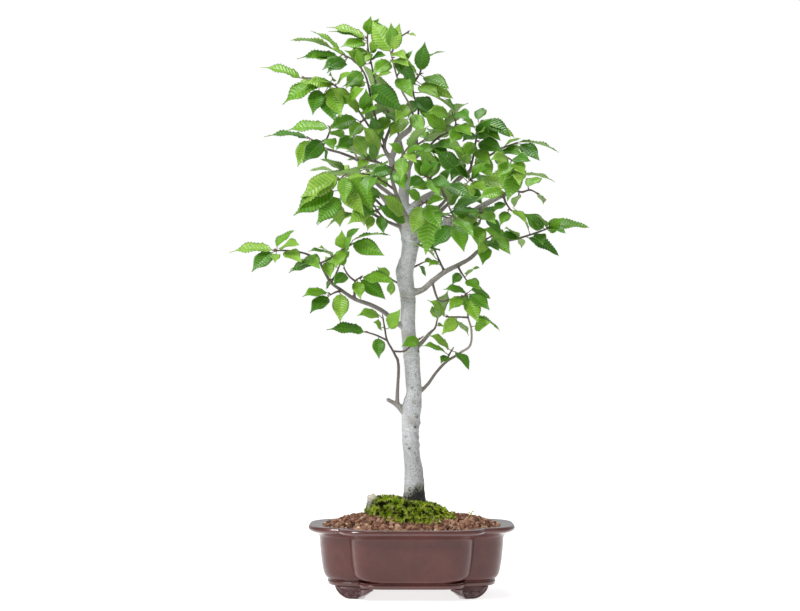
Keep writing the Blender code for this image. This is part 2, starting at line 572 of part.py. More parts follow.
def tube_mesh(name, points, radii, resolution):
    """A closed tube through the points, as a bevelled curve made into a mesh."""
    curve = bpy.data.curves.new(name, "CURVE")
    curve.dimensions = "3D"
    curve.bevel_depth = 1.0
    curve.bevel_resolution = resolution
    curve.use_fill_caps = True
    spline = curve.splines.new("POLY")
    spline.points.add(len(points) - 1)
    for spot, point, radius in zip(spline.points, points, radii):
        spot.co = (*point, 1.0)
        spot.radius = radius
    guide = bpy.data.objects.new(name, curve)
    bpy.context.scene.collection.objects.link(guide)
    graph = bpy.context.evaluated_depsgraph_get()
    mesh = bpy.data.meshes.new_from_object(guide.evaluated_get(graph))
    bpy.data.objects.remove(guide, do_unlink=True)
    bpy.data.curves.remove(curve)
    shape = bmesh.new()
    shape.from_mesh(mesh)
    bmesh.ops.remove_doubles(shape, verts=shape.verts, dist=1e-6)
    bmesh.ops.triangulate(shape, faces=shape.faces)
    bmesh.ops.recalc_face_normals(shape, faces=shape.faces)
    shape.to_mesh(mesh)
    shape.free()
    return mesh


def is_sound(mesh):
    """Whether the mesh is one closed piece with two faces on every edge and no tiny edges."""
    shape = bmesh.new()
    shape.from_mesh(mesh)
    bmesh.ops.triangulate(shape, faces=shape.faces)
    spots = {tuple(round(c / SAME_SPOT) for c in vertex.co) for vertex in shape.verts}
    sound = len(spots) == len(shape.verts)
    for edge in shape.edges:
        sound = sound and len(edge.link_faces) == 2 and edge.calc_length() > SHORTEST_EDGE
    sound = sound and reached_from_first(shape) == len(shape.verts)
    shape.free()
    return sound


def reached_from_first(shape):
    """How many points hang together with the first one."""
    shape.verts.ensure_lookup_table()
    reached = {shape.verts[0]}
    waiting = [shape.verts[0]]
    while waiting:
        vertex = waiting.pop()
        for edge in vertex.link_edges:
            other = edge.other_vert(vertex)
            if other not in reached:
                reached.add(other)
                waiting.append(other)
    return len(reached)


def fuse(obj, meshes):
    """Joins the meshes to the object by one Boolean union, applied. Tells whether it is sound."""
    pieces = new_collection(obj.name + "_pieces")
    for index, mesh in enumerate(meshes):
        add_object(f"{obj.name}_piece_{index}", mesh, pieces)
    union = obj.modifiers.new("union", "BOOLEAN")
    union.operation = "UNION"
    union.operand_type = "COLLECTION"
    union.collection = pieces
    union.solver = "EXACT"
    graph = bpy.context.evaluated_depsgraph_get()
    joined = bpy.data.meshes.new_from_object(obj.evaluated_get(graph))
    obj.modifiers.clear()
    obj.data = joined
    for piece in list(pieces.objects):
        bpy.data.objects.remove(piece, do_unlink=True)
    bpy.data.collections.remove(pieces)
    return is_sound(joined)


def cut(obj, cutter_mesh, collection):
    """Cuts the mesh out of the object by a Boolean difference, which is then applied."""
    cutter = add_object(obj.name + "_cutter", cutter_mesh, collection)
    difference = obj.modifiers.new("cut", "BOOLEAN")
    difference.operation = "DIFFERENCE"
    difference.solver = "EXACT"
    difference.object = cutter
    graph = bpy.context.evaluated_depsgraph_get()
    left = bpy.data.meshes.new_from_object(obj.evaluated_get(graph))
    obj.modifiers.clear()
    obj.data = left
    bpy.data.objects.remove(cutter, do_unlink=True)


def lobe_radius(angle, half_width, half_depth, squareness):
    along = abs(math.cos(angle) / half_width) ** squareness
    across = abs(math.sin(angle) / half_depth) ** squareness
    return (along + across) ** (-1.0 / squareness)


def outline_radius(angle, offset):
    """Distance from the middle to the lobed outline: the wide lobes' edge or the side lobes'."""
    front = lobe_radius(
        angle, FRONT_LOBE_HALF_WIDTH + offset, FRONT_LOBE_HALF_DEPTH + offset, FRONT_LOBE_SQUARENESS
    )
    side = lobe_radius(
        angle, SIDE_LOBE_HALF_WIDTH + offset, SIDE_LOBE_HALF_DEPTH + offset, SIDE_LOBE_SQUARENESS
    )
    return max(front, side), front > side


def notch_angle(offset):
    """The angle at which a side lobe meets a wide lobe."""
    low, high = 0.2, 1.2
    for _ in range(40):
        middle = (low + high) / 2
        if outline_radius(middle, offset)[1]:
            high = middle
        else:
            low = middle
    return (low + high) / 2


def outline_angles(offset):
    """Angles once round, with a point on each of the four notches."""
    notch = notch_angle(offset)
    corners = (-notch, notch, math.pi - notch, math.pi + notch, 2 * math.pi - notch)
    angles = []
    for start, end in zip(corners, corners[1:]):
        angles += [start + (end - start) * step / LOBE_STEPS for step in range(LOBE_STEPS)]
    return angles


def ring(offset, height):
    points = []
    for angle in outline_angles(offset):
        radius = outline_radius(angle, offset)[0]
        points.append(Vector((radius * math.cos(angle), radius * math.sin(angle), height)))
    return points


def loft(name, rings):
    """A closed solid through rings of like count, capped at the first and the last."""
    count = len(rings[0])
    points = [point for one in rings for point in one]
    faces = []
    for row in range(len(rings) - 1):
        for i in range(count):
            j = (i + 1) % count
            low, high = row * count, (row + 1) * count
            faces.append((low + i, low + j, high + j, high + i))
    faces.append(tuple(range(count)))
    faces.append(tuple(range(len(points) - count, len(points))))
    return mesh_from(name, points, faces)


def foot_mesh(name, sign_x, sign_y):
    """A cloud-shaped foot that follows the outline on both sides of one notch."""
    base_offset = OUTER_PROFILE[0][0] * MM
    notch = notch_angle(base_offset)
    reach = FOOT_HALF_SPAN / outline_radius(notch, base_offset)[0]
    shift = FOOT_SHIFT / outline_radius(notch, base_offset)[0]
    sections = []
    for share, height in FOOT_EDGE:
        angle = notch + shift + share * reach
        outer = outline_radius(angle, base_offset)[0]
        inner = outer - FOOT_THICKNESS + (FOOT_THICKNESS - FOOT_END_THICKNESS) * abs(share) ** 3
        section = []
        for radius, z in (
            (outer, height * MM), (outer, FOOT_HEIGHT + FOOT_SINK), (inner, FOOT_HEIGHT + FOOT_SINK), (inner, height * MM)
        ):
            section.append(Vector((sign_x * radius * math.cos(angle), sign_y * radius * math.sin(angle), z)))
        sections.append(section)
    return loft(name, sections)


def make_pot(collection, material):
    rings = [ring(offset * MM, height * MM) for offset, height in OUTER_PROFILE]
    rings.append(ring(WALL_TOP_OFFSET, SOIL_RIM_HEIGHT - 1.0 * MM))
    rings.append(ring(WALL_FOOT_OFFSET, FLOOR_TOP))
    pot = add_object("pot", loft("pot", rings), collection, material)
    feet = [
        foot_mesh(f"foot_{sign_x}_{sign_y}", sign_x, sign_y) for sign_x in (-1, 1) for sign_y in (-1, 1)
    ]
    fuse(pot, feet)
    for side in (-1, 1):
        shape = bmesh.new()
        bmesh.ops.create_cone(
            shape, cap_ends=True, segments=12, radius1=DRAIN_RADIUS, radius2=DRAIN_RADIUS, depth=40 * MM,
            matrix=Matrix.Translation((side * DRAIN_X, 0, FLOOR_TOP)),
        )
        cutter = bpy.data.meshes.new("drain")
        shape.to_mesh(cutter)
        shape.free()
        cut(pot, cutter, collection)


def make_screen(name, centre_x, collection, material):
    """A square of coarse mesh: crossing flat bars with square openings between them."""
    cells = 2 * SCREEN_BARS + 1
    step = 2 * SCREEN_HALF / cells
    bottom, top = FLOOR_TOP + GAP, FLOOR_TOP + GAP + SCREEN_THICKNESS
    shape = bmesh.new()
    spots = {}

    def spot(column, row, z):
        key = (column, row, z)
        if key not in spots:
            x = centre_x - SCREEN_HALF + column * step
            spots[key] = shape.verts.new((x, -SCREEN_HALF + row * step, z))
        return spots[key]

    def is_open(column, row):
        inside = 0 <= column < cells and 0 <= row < cells
        return not inside or (column % 2 == 1 and row % 2 == 1)

    for column in range(cells):
        for row in range(cells):
            if is_open(column, row):
                continue
            corners = ((column, row), (column + 1, row), (column + 1, row + 1), (column, row + 1))
            shape.faces.new([spot(*corner, top) for corner in corners])
            shape.faces.new([spot(*corner, bottom) for corner in reversed(corners)])
            beside = ((column, row - 1), (column + 1, row), (column, row + 1), (column - 1, row))
            for index, neighbour in enumerate(beside):
                if is_open(*neighbour):
                    a, b = corners[index], corners[(index + 1) % 4]
                    shape.faces.new((spot(*a, bottom), spot(*b, bottom), spot(*b, top), spot(*a, top)))
    mesh = bpy.data.meshes.new(name)
    shape.to_mesh(mesh)
    shape.free()
    add_object(name, mesh, collection, material)


def grain(x, y, scale):
    """A bumpy height between -1 and 1 that repeats nowhere on the pot."""
    u, v = x / (scale * MM), y / (scale * MM)
    return 0.5 * math.sin(u + 1.7 * math.sin(v * 0.9)) + 0.5 * math.cos(v * 1.1 + 1.3 * math.sin(u * 0.8))


def soil_height(x, y, share):
    """Height of the soil, where share runs from 0 at the flat top's edge to 1 at the wall."""
    height = SOIL_TOP_HEIGHT + (SOIL_RIM_HEIGHT - SOIL_TOP_HEIGHT) * share**1.3
    return height + SOIL_RELIEF * grain(x, y, 4.0) * math.sin(math.pi * min(share * 1.2, 1.0))


def make_soil(collection, material):
    inside = -0.4 * MM
    wall_share = (SOIL_BOTTOM - FLOOR_TOP) / (SOIL_RIM_HEIGHT - 1.0 * MM - FLOOR_TOP)
    foot_offset = WALL_FOOT_OFFSET + (WALL_TOP_OFFSET - WALL_FOOT_OFFSET) * wall_share
    rings = [ring(foot_offset + inside, SOIL_BOTTOM), ring(WALL_TOP_OFFSET + inside, SOIL_RIM_HEIGHT - 1.0 * MM)]
    edge = ring(WALL_TOP_OFFSET + inside, SOIL_RIM_HEIGHT)
    for share in (0.97, 0.72, 0.48, 0.24):
        row = []
        for point in edge:
            angle = math.atan2(point.y, point.x)
            top = lobe_radius(angle, SOIL_TOP_HALF_WIDTH, SOIL_TOP_HALF_DEPTH, 2.0)
            radius = top + (Vector((point.x, point.y)).length - top) * share
            x, y = radius * math.cos(angle), radius * math.sin(angle)
            row.append(Vector((x, y, soil_height(x, y, share))))
        rings.append(row)
    flat = []
    for point in edge:
        angle = math.atan2(point.y, point.x)
        top = lobe_radius(angle, SOIL_TOP_HALF_WIDTH, SOIL_TOP_HALF_DEPTH, 2.0)
        flat.append(Vector((top * math.cos(angle), top * math.sin(angle), SOIL_TOP_HEIGHT)))
    rings.append(flat)
    soil = add_object("soil", loft("soil", rings), collection, material)
    foot = place(*BRANCHES["trunk"][0][:3])
    cut(soil, upright_cutter(foot.x, 0, TRUNK_HOLE_RADIUS, TRUNK_FOOT_HEIGHT - GAP, 24), collection)
    cut(soil, upright_cutter(STUB_PLACE.x, STUB_PLACE.y, STUB_RADIUS + 1.6 * MM, STUB_BOTTOM - GAP, 12), collection)


def upright_cutter(x, y, radius, bottom, sides):
    height = 100 * MM
    shape = bmesh.new()
    bmesh.ops.create_cone(
        shape, cap_ends=True, segments=sides, radius1=radius, radius2=radius, depth=height,
        matrix=Matrix.Translation((x, y, bottom + height / 2)),
    )
    mesh = bpy.data.meshes.new("upright_cutter")
    shape.to_mesh(mesh)
    shape.free()
    return mesh


def moss_edge(angle):
    """Share of the mound's half sizes at that angle, for an uneven edge."""
    return 1.0 + 0.07 * math.sin(3 * angle + 0.6) + 0.05 * math.sin(7 * angle)


def make_moss(collection, material):
    count = 22
    bottom = SOIL_TOP_HEIGHT + GAP
    rings = []
    for share in (1.0, 0.99, 0.9, 0.7, 0.44):
        row = []
        for step in range(count):
            angle = 2 * math.pi * step / count
            reach = share * moss_edge(angle)
            x = MOSS_CENTRE.x + MOSS_HALF_WIDTH * reach * math.cos(angle)
            y = MOSS_CENTRE.y + MOSS_HALF_DEPTH * reach * math.sin(angle)
            fall = MOSS_FALL[0] + MOSS_FALL[1] * max(0.0, -math.cos(angle))
            dome = MOSS_PEAK * (1 - share**fall) ** 0.75
            lumps = 1.2 * MM * grain(x, y, 5.0) if share < 0.95 else 0.0
            rise = max(dome, MOSS_EDGE) + lumps if share < 1.0 else 0.0
            row.append(Vector((x, y, bottom + rise)))
        rings.append(row)
    moss = add_object("moss", loft("moss", rings), collection, material)
    foot = place(*BRANCHES["trunk"][0][:3])
    cut(moss, upright_cutter(foot.x, 0, TRUNK_HOLE_RADIUS, SOIL_TOP_HEIGHT - 5 * MM, 24), collection)
    cut(moss, upright_cutter(STUB_PLACE.x, STUB_PLACE.y, STUB_RADIUS + 1.6 * MM, SOIL_TOP_HEIGHT - 5 * MM, 12), collection)


def make_root_stub(collection, material):
    heights = (STUB_BOTTOM, 93 * MM, 100.5 * MM, 104.5 * MM, STUB_TOP)
    widths = (0.9, 1.0, 1.1, 1.25, 0.9)
    points = [STUB_PLACE + Vector((0, 0, height)) for height in heights]
    mesh = tube_mesh("root_stub", points, [STUB_RADIUS * width for width in widths], 2)
    add_object("root_stub", mesh, collection, material)


def branch_points(name):
    return [place(x, y, depth) for x, y, depth, _ in BRANCHES[name]]


def branch_radii(name):
    return [radius * MM for _, _, _, radius in BRANCHES[name]]


def on_branch_end(spray):
    name, index = spray["branch"]
    return index == len(BRANCHES[name]) - 1


def grown_branch(name, resolution):
    """The branch as a tube, which runs on to the spur's end where its own end carries a spray."""
    points, radii = branch_points(name), branch_radii(name)
    for spray in SPRAYS.values():
        if spray["branch"][0] == name and on_branch_end(spray):
            root, first, reach = spur_cut(spray)
            points.append(root + (first - root).normalized() * reach)
            radii.append(TWIG_RADIUS)
    return tube_mesh(name, points, radii, resolution)


def bent(route, bend):
    """The twig's points, with depth added towards its far end. Its first stretch stays."""
    last = max(len(route) - 1, 1)
    return [
        place(x, y, depth + (bend * index / last if index else 0)) for index, (x, y, depth) in enumerate(route)
    ]


def spur_cut(spray):
    """The foot of the spray on its branch, its first point, and how far out the spur ends."""
    name, index = spray["branch"]
    root = branch_points(name)[index]
    first = place(*spray["twigs"][0][0])
    return root, first, branch_radii(name)[index] + SPUR_LENGTH


def twig_lines(spray, bend):
    """The spray's twigs as lists of points, the first one from just outside its spur."""
    root, first, reach = spur_cut(spray)
    direction = (first - root).normalized()
    main = bent(spray["twigs"][0], bend)
    lines = [[root + direction * (reach + GAP)] + main]
    for side in spray["twigs"][1:]:
        lines.append(side_twig(lines, spray, side, bend))
    return lines


def side_twig(lines, spray, side, bend):
    """A side twig, which starts on the point of an earlier twig that its first place names."""
    for number, route in enumerate(spray["twigs"][: len(lines)]):
        if side[0] in route:
            position = route.index(side[0]) + (1 if number == 0 else 0)
            start, before = lines[number][position], lines[number][position - 1]
            start = start + (before - start).normalized() * START_SHIFT
            break
    last = len(side) - 1
    return [start] + [place(x, y, depth + bend * index / last) for index, (x, y, depth) in enumerate(side)][1:]


def twig_radii(line, widest):
    last = len(line) - 1
    return [widest + (TWIG_TIP_RADIUS - widest) * index / last for index in range(last + 1)]


def nearest_on(lines, x, y):
    """The point of the twigs that the sight line through (x, y) passes closest to."""
    best = None
    for line in lines:
        for number, (a, b) in enumerate(zip(line, line[1:])):
            margin = TWIG_END_MARGIN / (b - a).length
            low = margin if number == 0 else 0.0
            high = 1 - margin if number == len(line) - 2 else 1.0
            for step in range(13):
                point = a.lerp(b, low + (high - low) * step / 12)
                sight = place(x, y, point.y / MM)
                distance = (sight - point).length
                if best is None or distance < best[0]:
                    best = (distance, point, sight)
    return best[1], best[2]


def shown_leaf(lines, x, y, tip_x, tip_y, towards, facing):
    """A leaf whose foot and tip are seen at the given places."""
    node, base = nearest_on(lines, x, y)
    if (base - node).length > PETIOLE_LONGEST:
        base = node + (base - node).normalized() * PETIOLE_LONGEST
    flat_tip = place(tip_x, tip_y, base.y / MM)
    seen = (flat_tip - base).length
    hidden = math.sqrt(max(LEAF_LENGTH**2 - seen**2, 0.0))
    tip = place(tip_x, tip_y, (base.y - towards * hidden) / MM)
    chord = tip - base
    if chord.length > LEAF_LONGEST:
        chord = chord.normalized() * LEAF_LONGEST
    if (base - node).length < SHORT_STALK:
        base = node + chord.normalized() * SHORT_STALK
        chord = chord * (1 - SHORT_STALK / chord.length)
    facing_way = UP * (1 - facing) + TO_VIEWER * facing
    return {"node": node, "base": base, "chord": chord, "normal": facing_way, "droop": 0.35 + 0.3 * (1 - facing)}


def ruled_leaf(line, index, count, rng):
    """A leaf set by rule: feet in turn on both sides of the twig, and one at its end."""
    share = 0.25 + 0.75 * (index + 1) / count
    position = share * (len(line) - 1) * 0.97
    whole = min(int(position), len(line) - 2)
    node = line[whole].lerp(line[whole + 1], position - whole)
    along = (line[whole + 1] - line[whole]).normalized()
    across = along.cross(UP).normalized()
    side = 1 if index % 2 else -1
    if index == count - 1:
        way = along + across * rng.uniform(-0.2, 0.2)
    else:
        way = along * 0.6 + across * side
    way = way.normalized() + UP * rng.uniform(-0.45, 0.25)
    way.normalize()
    base = node + way * rng.uniform(4, 7) * MM
    normal = UP + across * rng.uniform(-0.35, 0.35) + Vector((node.x, node.y, 0)).normalized() * rng.uniform(0, 0.5)
    length = rng.uniform(33, 43) * MM
    return {"node": node, "base": base, "chord": way * length, "normal": normal, "droop": rng.uniform(0.3, 0.8)}


def spray_leaves(spray, lines, seed):
    leaves = [shown_leaf(lines, *leaf) for leaf in spray["leaves"]]
    rng = random.Random(seed)
    leaves += [ruled_leaf(lines[0], index, spray["more"], rng) for index in range(spray["more"])]
    for index, leaf in enumerate(leaves):
        leaf["sink"] = SINK + SINK_STEP * (index % 6)
    return leaves


def turned(leaf, swing, lift, size):
    """The leaf turned about its foot."""
    chord = leaf["chord"]
    across = chord.cross(leaf["normal"]).normalized()
    normal = across.cross(chord).normalized()
    turn = Matrix.Rotation(math.radians(swing), 3, normal) @ Matrix.Rotation(math.radians(lift), 3, across)
    return {**leaf, "chord": turn @ chord * size, "normal": turn @ normal}


def blade_width(t):
    """Share of the half width at t along the leaf: widest before its middle, with a drawn-out tip."""
    return math.sin(math.pi * t**0.82) ** 0.8 * (1.0 - 0.28 * t**5)


def blade_point(leaf, t, u, above=0.0):
    """The point at t along the leaf and u across it, -1 to 1, raised off the blade by above."""
    chord = leaf["chord"]
    length = chord.length
    along = chord.normalized()
    across = along.cross(leaf["normal"]).normalized()
    normal = across.cross(along)
    droop = leaf["droop"]
    arc = length * (droop / 2) / math.sin(droop / 2)
    start = along * math.cos(droop / 2) + normal * math.sin(droop / 2)
    start_normal = normal * math.cos(droop / 2) - along * math.sin(droop / 2)
    angle = droop * t
    middle = leaf["base"] + (start * math.sin(angle) - start_normal * (1 - math.cos(angle))) * (arc / droop)
    normal_here = start * math.sin(angle) + start_normal * math.cos(angle)
    half = length * LEAF_WIDTH_SHARE / 2 * blade_width(t) * abs(u)
    side = across * math.copysign(1.0, u) * math.cos(LEAF_FOLD) + normal_here * math.sin(LEAF_FOLD)
    return middle + side * half + normal_here * above


def stalk_rims(leaf, extra):
    """The stalk's two three-sided ends. The one at the blade halves the angle between the two."""
    stalk = (leaf["base"] - leaf["node"]).normalized()
    chord = leaf["chord"].normalized()
    halfway = (stalk + chord).normalized()
    across = halfway.cross(leaf["normal"]).normalized()
    beneath = halfway.cross(across).normalized()
    start_across = (across - stalk * across.dot(stalk)).normalized()
    start_beneath = stalk.cross(start_across)
    start = leaf["node"] - stalk * leaf["sink"]
    thin, thick = STALK_START_RADIUS + extra, PETIOLE_RADIUS + extra
    return [
        [start - start_across * thin, start + start_across * thin, start + start_beneath * thin * 1.3],
        [
            leaf["base"] - across * thick,
            leaf["base"] + across * thick,
            leaf["base"] + beneath * thick * 1.3,
        ],
    ]


def leaf_shape(leaf, extra=0.0):
    """Points and faces of one leaf with its stalk. Extra thickens it, for the clearance test."""
    thick = LEAF_THICKNESS / 2 + extra
    edge_share = 1.0 + extra * 60
    left, right = [], []
    for index, t in enumerate(EDGE_STATIONS):
        wave = LEAF_WAVE * (1 if index % 2 else -1)
        left.append(blade_point(leaf, t, -edge_share, wave))
        right.append(blade_point(leaf, t, edge_share, -wave))
    tip = blade_point(leaf, 1.0, 0.0)
    upper = [blade_point(leaf, t, 0.0, thick) for t in RIB_STATIONS]
    lower = [blade_point(leaf, t, 0.0, -thick) for t in RIB_STATIONS]
    rims = stalk_rims(leaf, extra)
    points = rims[0] + rims[1] + left + right + upper + lower + [tip]
    sides = len(EDGE_STATIONS)
    first_left, first_right = 6, 6 + sides
    first_upper, first_lower = 6 + 2 * sides, 6 + 2 * sides + len(RIB_STATIONS)
    last = len(points) - 1
    faces = [(0, 1, 2), (0, 1, 4, 3), (1, 2, 5, 4), (2, 0, 3, 5), (3, 4, first_upper)]
    for start, first, rib_first, foot in (
        (3, first_left, first_upper, None), (4, first_right, first_upper, None),
        (3, first_left, first_lower, 5), (4, first_right, first_lower, 5),
    ):
        edge = [start] + [first + index for index in range(sides)] + [last]
        rib = [rib_first + index for index in range(len(RIB_STATIONS))] + [last]
        if foot is not None:
            rib = [foot] + rib
            faces.append((foot, edge[0], rib[1]))
            rib = rib[1:]
        faces += strip(edge, rib)
    return points, faces


def blade_shape(points, faces):
    """The same leaf without its stalk, closed at the foot of the blade."""
    return points, faces[4:] + [(3, 4, 5)]


def crosses_itself(points, faces):
    tree = tree_of(points, faces)
    return any(not set(faces[a]) & set(faces[b]) for a, b in tree.overlap(tree) if a < b)


def strip(edge, rib):
    """Triangles between an edge of six points and a rib of three, which end on the same tip."""
    return [
        (edge[0], edge[1], rib[0]), (edge[1], edge[2], rib[0]), (edge[2], rib[1], rib[0]),
        (edge[2], edge[3], rib[1]), (edge[3], edge[4], rib[1]), (edge[4], edge[5], rib[1]),
    ]


def tree_of(points, faces):
    return BVHTree.FromPolygons([tuple(p) for p in points], faces, all_triangles=False)


def mesh_tree(mesh):
    return tree_of([v.co for v in mesh.vertices], [tuple(p.vertices) for p in mesh.polygons])


def touches(tree, others):
    return any(tree.overlap(other) for other in others)


def settle_twigs(spray, placed):
    """The twigs' points, bent so that they clear what is placed already."""
    for bend in BENDS:
        lines = twig_lines(spray, bend)
        tests = [mesh_tree(thick_tube(line)) for line in lines]
        if not any(touches(test, placed) for test in tests):
            break
    return lines, tests


def thick_tube(line):
    """The twig with its clearance round it."""
    return tube_mesh("test", line, [radius + CLEARANCE for radius in twig_radii(line, TWIG_RADIUS)], 0)


def settle_leaf(leaf, others, own):
    """The leaf in the first turn and size that clears everything, or nothing.

    Its stalk may meet the stalks and twigs of its own spray, and its blade keeps clear of them.
    """
    for size in SIZES:
        for swing, lift in TURNS:
            tried = turned(leaf, swing, lift, size)
            if (tried["base"] - tried["node"]).normalized().dot(tried["chord"].normalized()) < SHARPEST_KINK:
                tried["base"] = tried["node"] + tried["chord"].normalized() * SHORT_STALK
            shape = leaf_shape(tried, CLEARANCE)
            whole, blade = tree_of(*shape), tree_of(*blade_shape(*shape))
            if touches(whole, others) or touches(blade, own) or crosses_itself(*leaf_shape(tried)):
                continue
            return tried, whole, blade
    return None, None, None


def branch_resolution(name):
    return 2 if BRANCHES[name][1][3] > THICK_BRANCH else 1


def make_tree(collection, material):
    """The trunk, its branches and a short spur for each spray, grown together."""
    trunk = add_object("tree", grown_branch("trunk", 3), collection, material)
    meshes = [grown_branch(name, branch_resolution(name)) for name in BRANCHES if name != "trunk"]
    for name, spray in SPRAYS.items():
        if on_branch_end(spray):
            continue
        root, first, reach = spur_cut(spray)
        branch, index = spray["branch"]
        start = root + (branch_points(branch)[index - 1] - root).normalized() * START_SHIFT
        end = root + (first - root).normalized() * reach
        meshes.append(tube_mesh(name + "_spur", [start, end], [TWIG_RADIUS * 1.2, TWIG_RADIUS], 0))
    fuse(trunk, meshes)
    return trunk


def make_spray(name, lines, leaves, collection, material):
    """One spray as one solid. Its stalks sink in a little deeper until the union is sound."""
    obj = add_object(name, None, collection)
    for attempt in range(UNION_TRIES):
        radius = TWIG_RADIUS * (1 + 0.02 * attempt * (-1) ** attempt)
        obj.data = tube_mesh(name, lines[0], twig_radii(lines[0], radius), 0)
        obj.data.materials.append(material)
        meshes = [tube_mesh(name + "_side", line, twig_radii(line, radius * 0.85), 0) for line in lines[1:]]
        for leaf in leaves:
            sunk = {**leaf, "sink": leaf["sink"] + attempt * SINK_STEP / 3}
            meshes.append(mesh_from("leaf", *leaf_shape(sunk)))
        if fuse(obj, meshes):
            return


def make_sprays(tree, collection, material):
    """Every spray: first the twigs of all, then the leaves that find room."""
    tree_test = mesh_tree(tree.data)
    placed = [tree_test]
    settled = {}
    for name, spray in SPRAYS.items():
        lines, tests = settle_twigs(spray, placed)
        settled[name] = (lines, tests)
        placed += tests
    leaf_tests = {name: [] for name in SPRAYS}
    leaves = {name: [] for name in SPRAYS}
    wanted = []
    for number, (name, spray) in enumerate(SPRAYS.items()):
        found = spray_leaves(spray, settled[name][0], number)
        wanted += [(index >= len(spray["leaves"]), number, index, name, leaf) for index, leaf in enumerate(found)]
    for _, _, _, name, leaf in sorted(wanted, key=lambda entry: entry[:3]):
        others = [tree_test]
        for other, (_, tests) in settled.items():
            if other != name:
                others += tests + [whole for whole, _ in leaf_tests[other]]
        own = settled[name][1] + [blade for _, blade in leaf_tests[name]]
        fitted, whole, blade = settle_leaf(leaf, others, own)
        if fitted:
            leaf_tests[name].append((whole, blade))
            leaves[name].append(fitted)
    for name in SPRAYS:
        make_spray(name, settled[name][0], leaves[name], collection, material)


def centre_plant(collection):
    """Moves the whole plant so that the middle of its bounding box stands over the origin."""
    low = Vector((math.inf, math.inf))
    high = Vector((-math.inf, -math.inf))
    for obj in collection.objects:
        for vertex in obj.data.vertices:
            low.x, low.y = min(low.x, vertex.co.x), min(low.y, vertex.co.y)
            high.x, high.y = max(high.x, vertex.co.x), max(high.y, vertex.co.y)
    shift = Matrix.Translation((-(low.x + high.x) / 2, -(low.y + high.y) / 2, 0))
    for obj in collection.objects:
        obj.data.transform(shift)


def triangulate(collection):
    """Splits every face, so that a face that isn't flat has one fixed shape."""
    for obj in collection.objects:
        shape = bmesh.new()
        shape.from_mesh(obj.data)
        bmesh.ops.triangulate(shape, faces=shape.faces)
        shape.to_mesh(obj.data)
        shape.free()


def main():
    clear_scene()
    plant = new_collection("japanese_beech_bonsai")
    clay = new_material("unglazed_clay", (0.156, 0.060, 0.045), 0.45)
    plastic = new_material("black_mesh", (0.02, 0.02, 0.02), 0.6)
    granules = new_material("soil_granules", (0.15, 0.08, 0.04), 0.95)
    green_moss = new_material("moss", (0.13, 0.27, 0.02), 0.95)
    bark = new_material("bark", (0.38, 0.37, 0.35), 0.8)
    leaf_green = new_material("leaf_green", (0.08, 0.28, 0.02), 0.5)
    make_pot(plant, clay)
    make_screen("drain_screen_left", -DRAIN_X, plant, plastic)
    make_screen("drain_screen_right", DRAIN_X, plant, plastic)
    make_soil(plant, granules)
    make_moss(plant, green_moss)
    make_root_stub(plant, bark)
    tree = make_tree(plant, bark)
    make_sprays(tree, plant, leaf_green)
    triangulate(plant)
    centre_plant(plant)


main()
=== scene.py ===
"""The finished look of a japanese beech bonsai in its lobed stoneware pot.

The plan of branches and leaves is the same as in the solid model. Each leaf is set where the
solid one stands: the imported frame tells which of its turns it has.
"""

import math
import random
from collections import namedtuple

import bmesh
import bpy
import numpy as np
from mathutils import Matrix, Vector, noise
from mathutils.kdtree import KDTree


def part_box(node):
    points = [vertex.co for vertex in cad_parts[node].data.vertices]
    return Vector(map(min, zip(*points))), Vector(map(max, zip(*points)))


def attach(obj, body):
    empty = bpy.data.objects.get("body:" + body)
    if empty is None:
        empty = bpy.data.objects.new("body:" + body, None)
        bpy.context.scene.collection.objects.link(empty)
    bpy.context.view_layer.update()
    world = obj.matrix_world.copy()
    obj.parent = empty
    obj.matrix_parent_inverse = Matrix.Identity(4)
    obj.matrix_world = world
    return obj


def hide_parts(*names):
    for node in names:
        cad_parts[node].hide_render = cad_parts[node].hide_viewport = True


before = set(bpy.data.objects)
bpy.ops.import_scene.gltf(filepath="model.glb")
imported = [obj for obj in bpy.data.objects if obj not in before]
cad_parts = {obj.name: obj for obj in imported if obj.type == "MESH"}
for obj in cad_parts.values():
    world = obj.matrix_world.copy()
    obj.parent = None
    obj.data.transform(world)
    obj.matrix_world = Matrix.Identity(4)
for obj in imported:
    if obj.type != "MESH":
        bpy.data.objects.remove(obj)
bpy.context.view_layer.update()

MM = 0.001
GAP = 0.3 * MM
UP = Vector((0.0, 0.0, 1.0))
TO_VIEWER = Vector((0.0, -1.0, 0.0))

# The view in which the branches and leaves are laid out, as seen from the front.
VIEW_CENTRE_X = 400.0
VIEW_CENTRE_Y = 305.5
VIEW_FOCAL = 1887.0
VIEW_PITCH = 0.0263
EYE = Vector((-0.0122, -2.0, 0.252))

# The pot: half width, half depth and squareness of its lobes below the rim, and its heights.
FRONT_LOBE = (65 * MM, 78 * MM, 6.0)
SIDE_LOBE = (96.5 * MM, 56 * MM, 3.6)
FOOT_HEIGHT = 12.7 * MM
FLOOR_TOP = 19 * MM
WALL_TOP_OFFSET = -3.8 * MM
WALL_FOOT_OFFSET = -14 * MM
# Each pair is an offset outward from the body's outline and a height, from the base upward.
OUTER_PROFILE = (
    (-9.5, 12.7), (-8.5, 13.9), (-8.3, 16.6), (-9.5, 18.0), (-6.6, 20.4), (-4.2, 25.0),
    (-1.9, 37.0), (-0.3, 52.0), (0.6, 62.6), (3.0, 65.6), (8.3, 68.0), (11.5, 69.9),
    (12.0, 72.2), (10.2, 74.5), (-2.6, 73.7),
)
FOOT_HALF_SPAN = 22 * MM
FOOT_THICKNESS = 11.7 * MM
FOOT_END_THICKNESS = 3.5 * MM
FOOT_SINK = 1.5 * MM
FOOT_SHIFT = 2 * MM
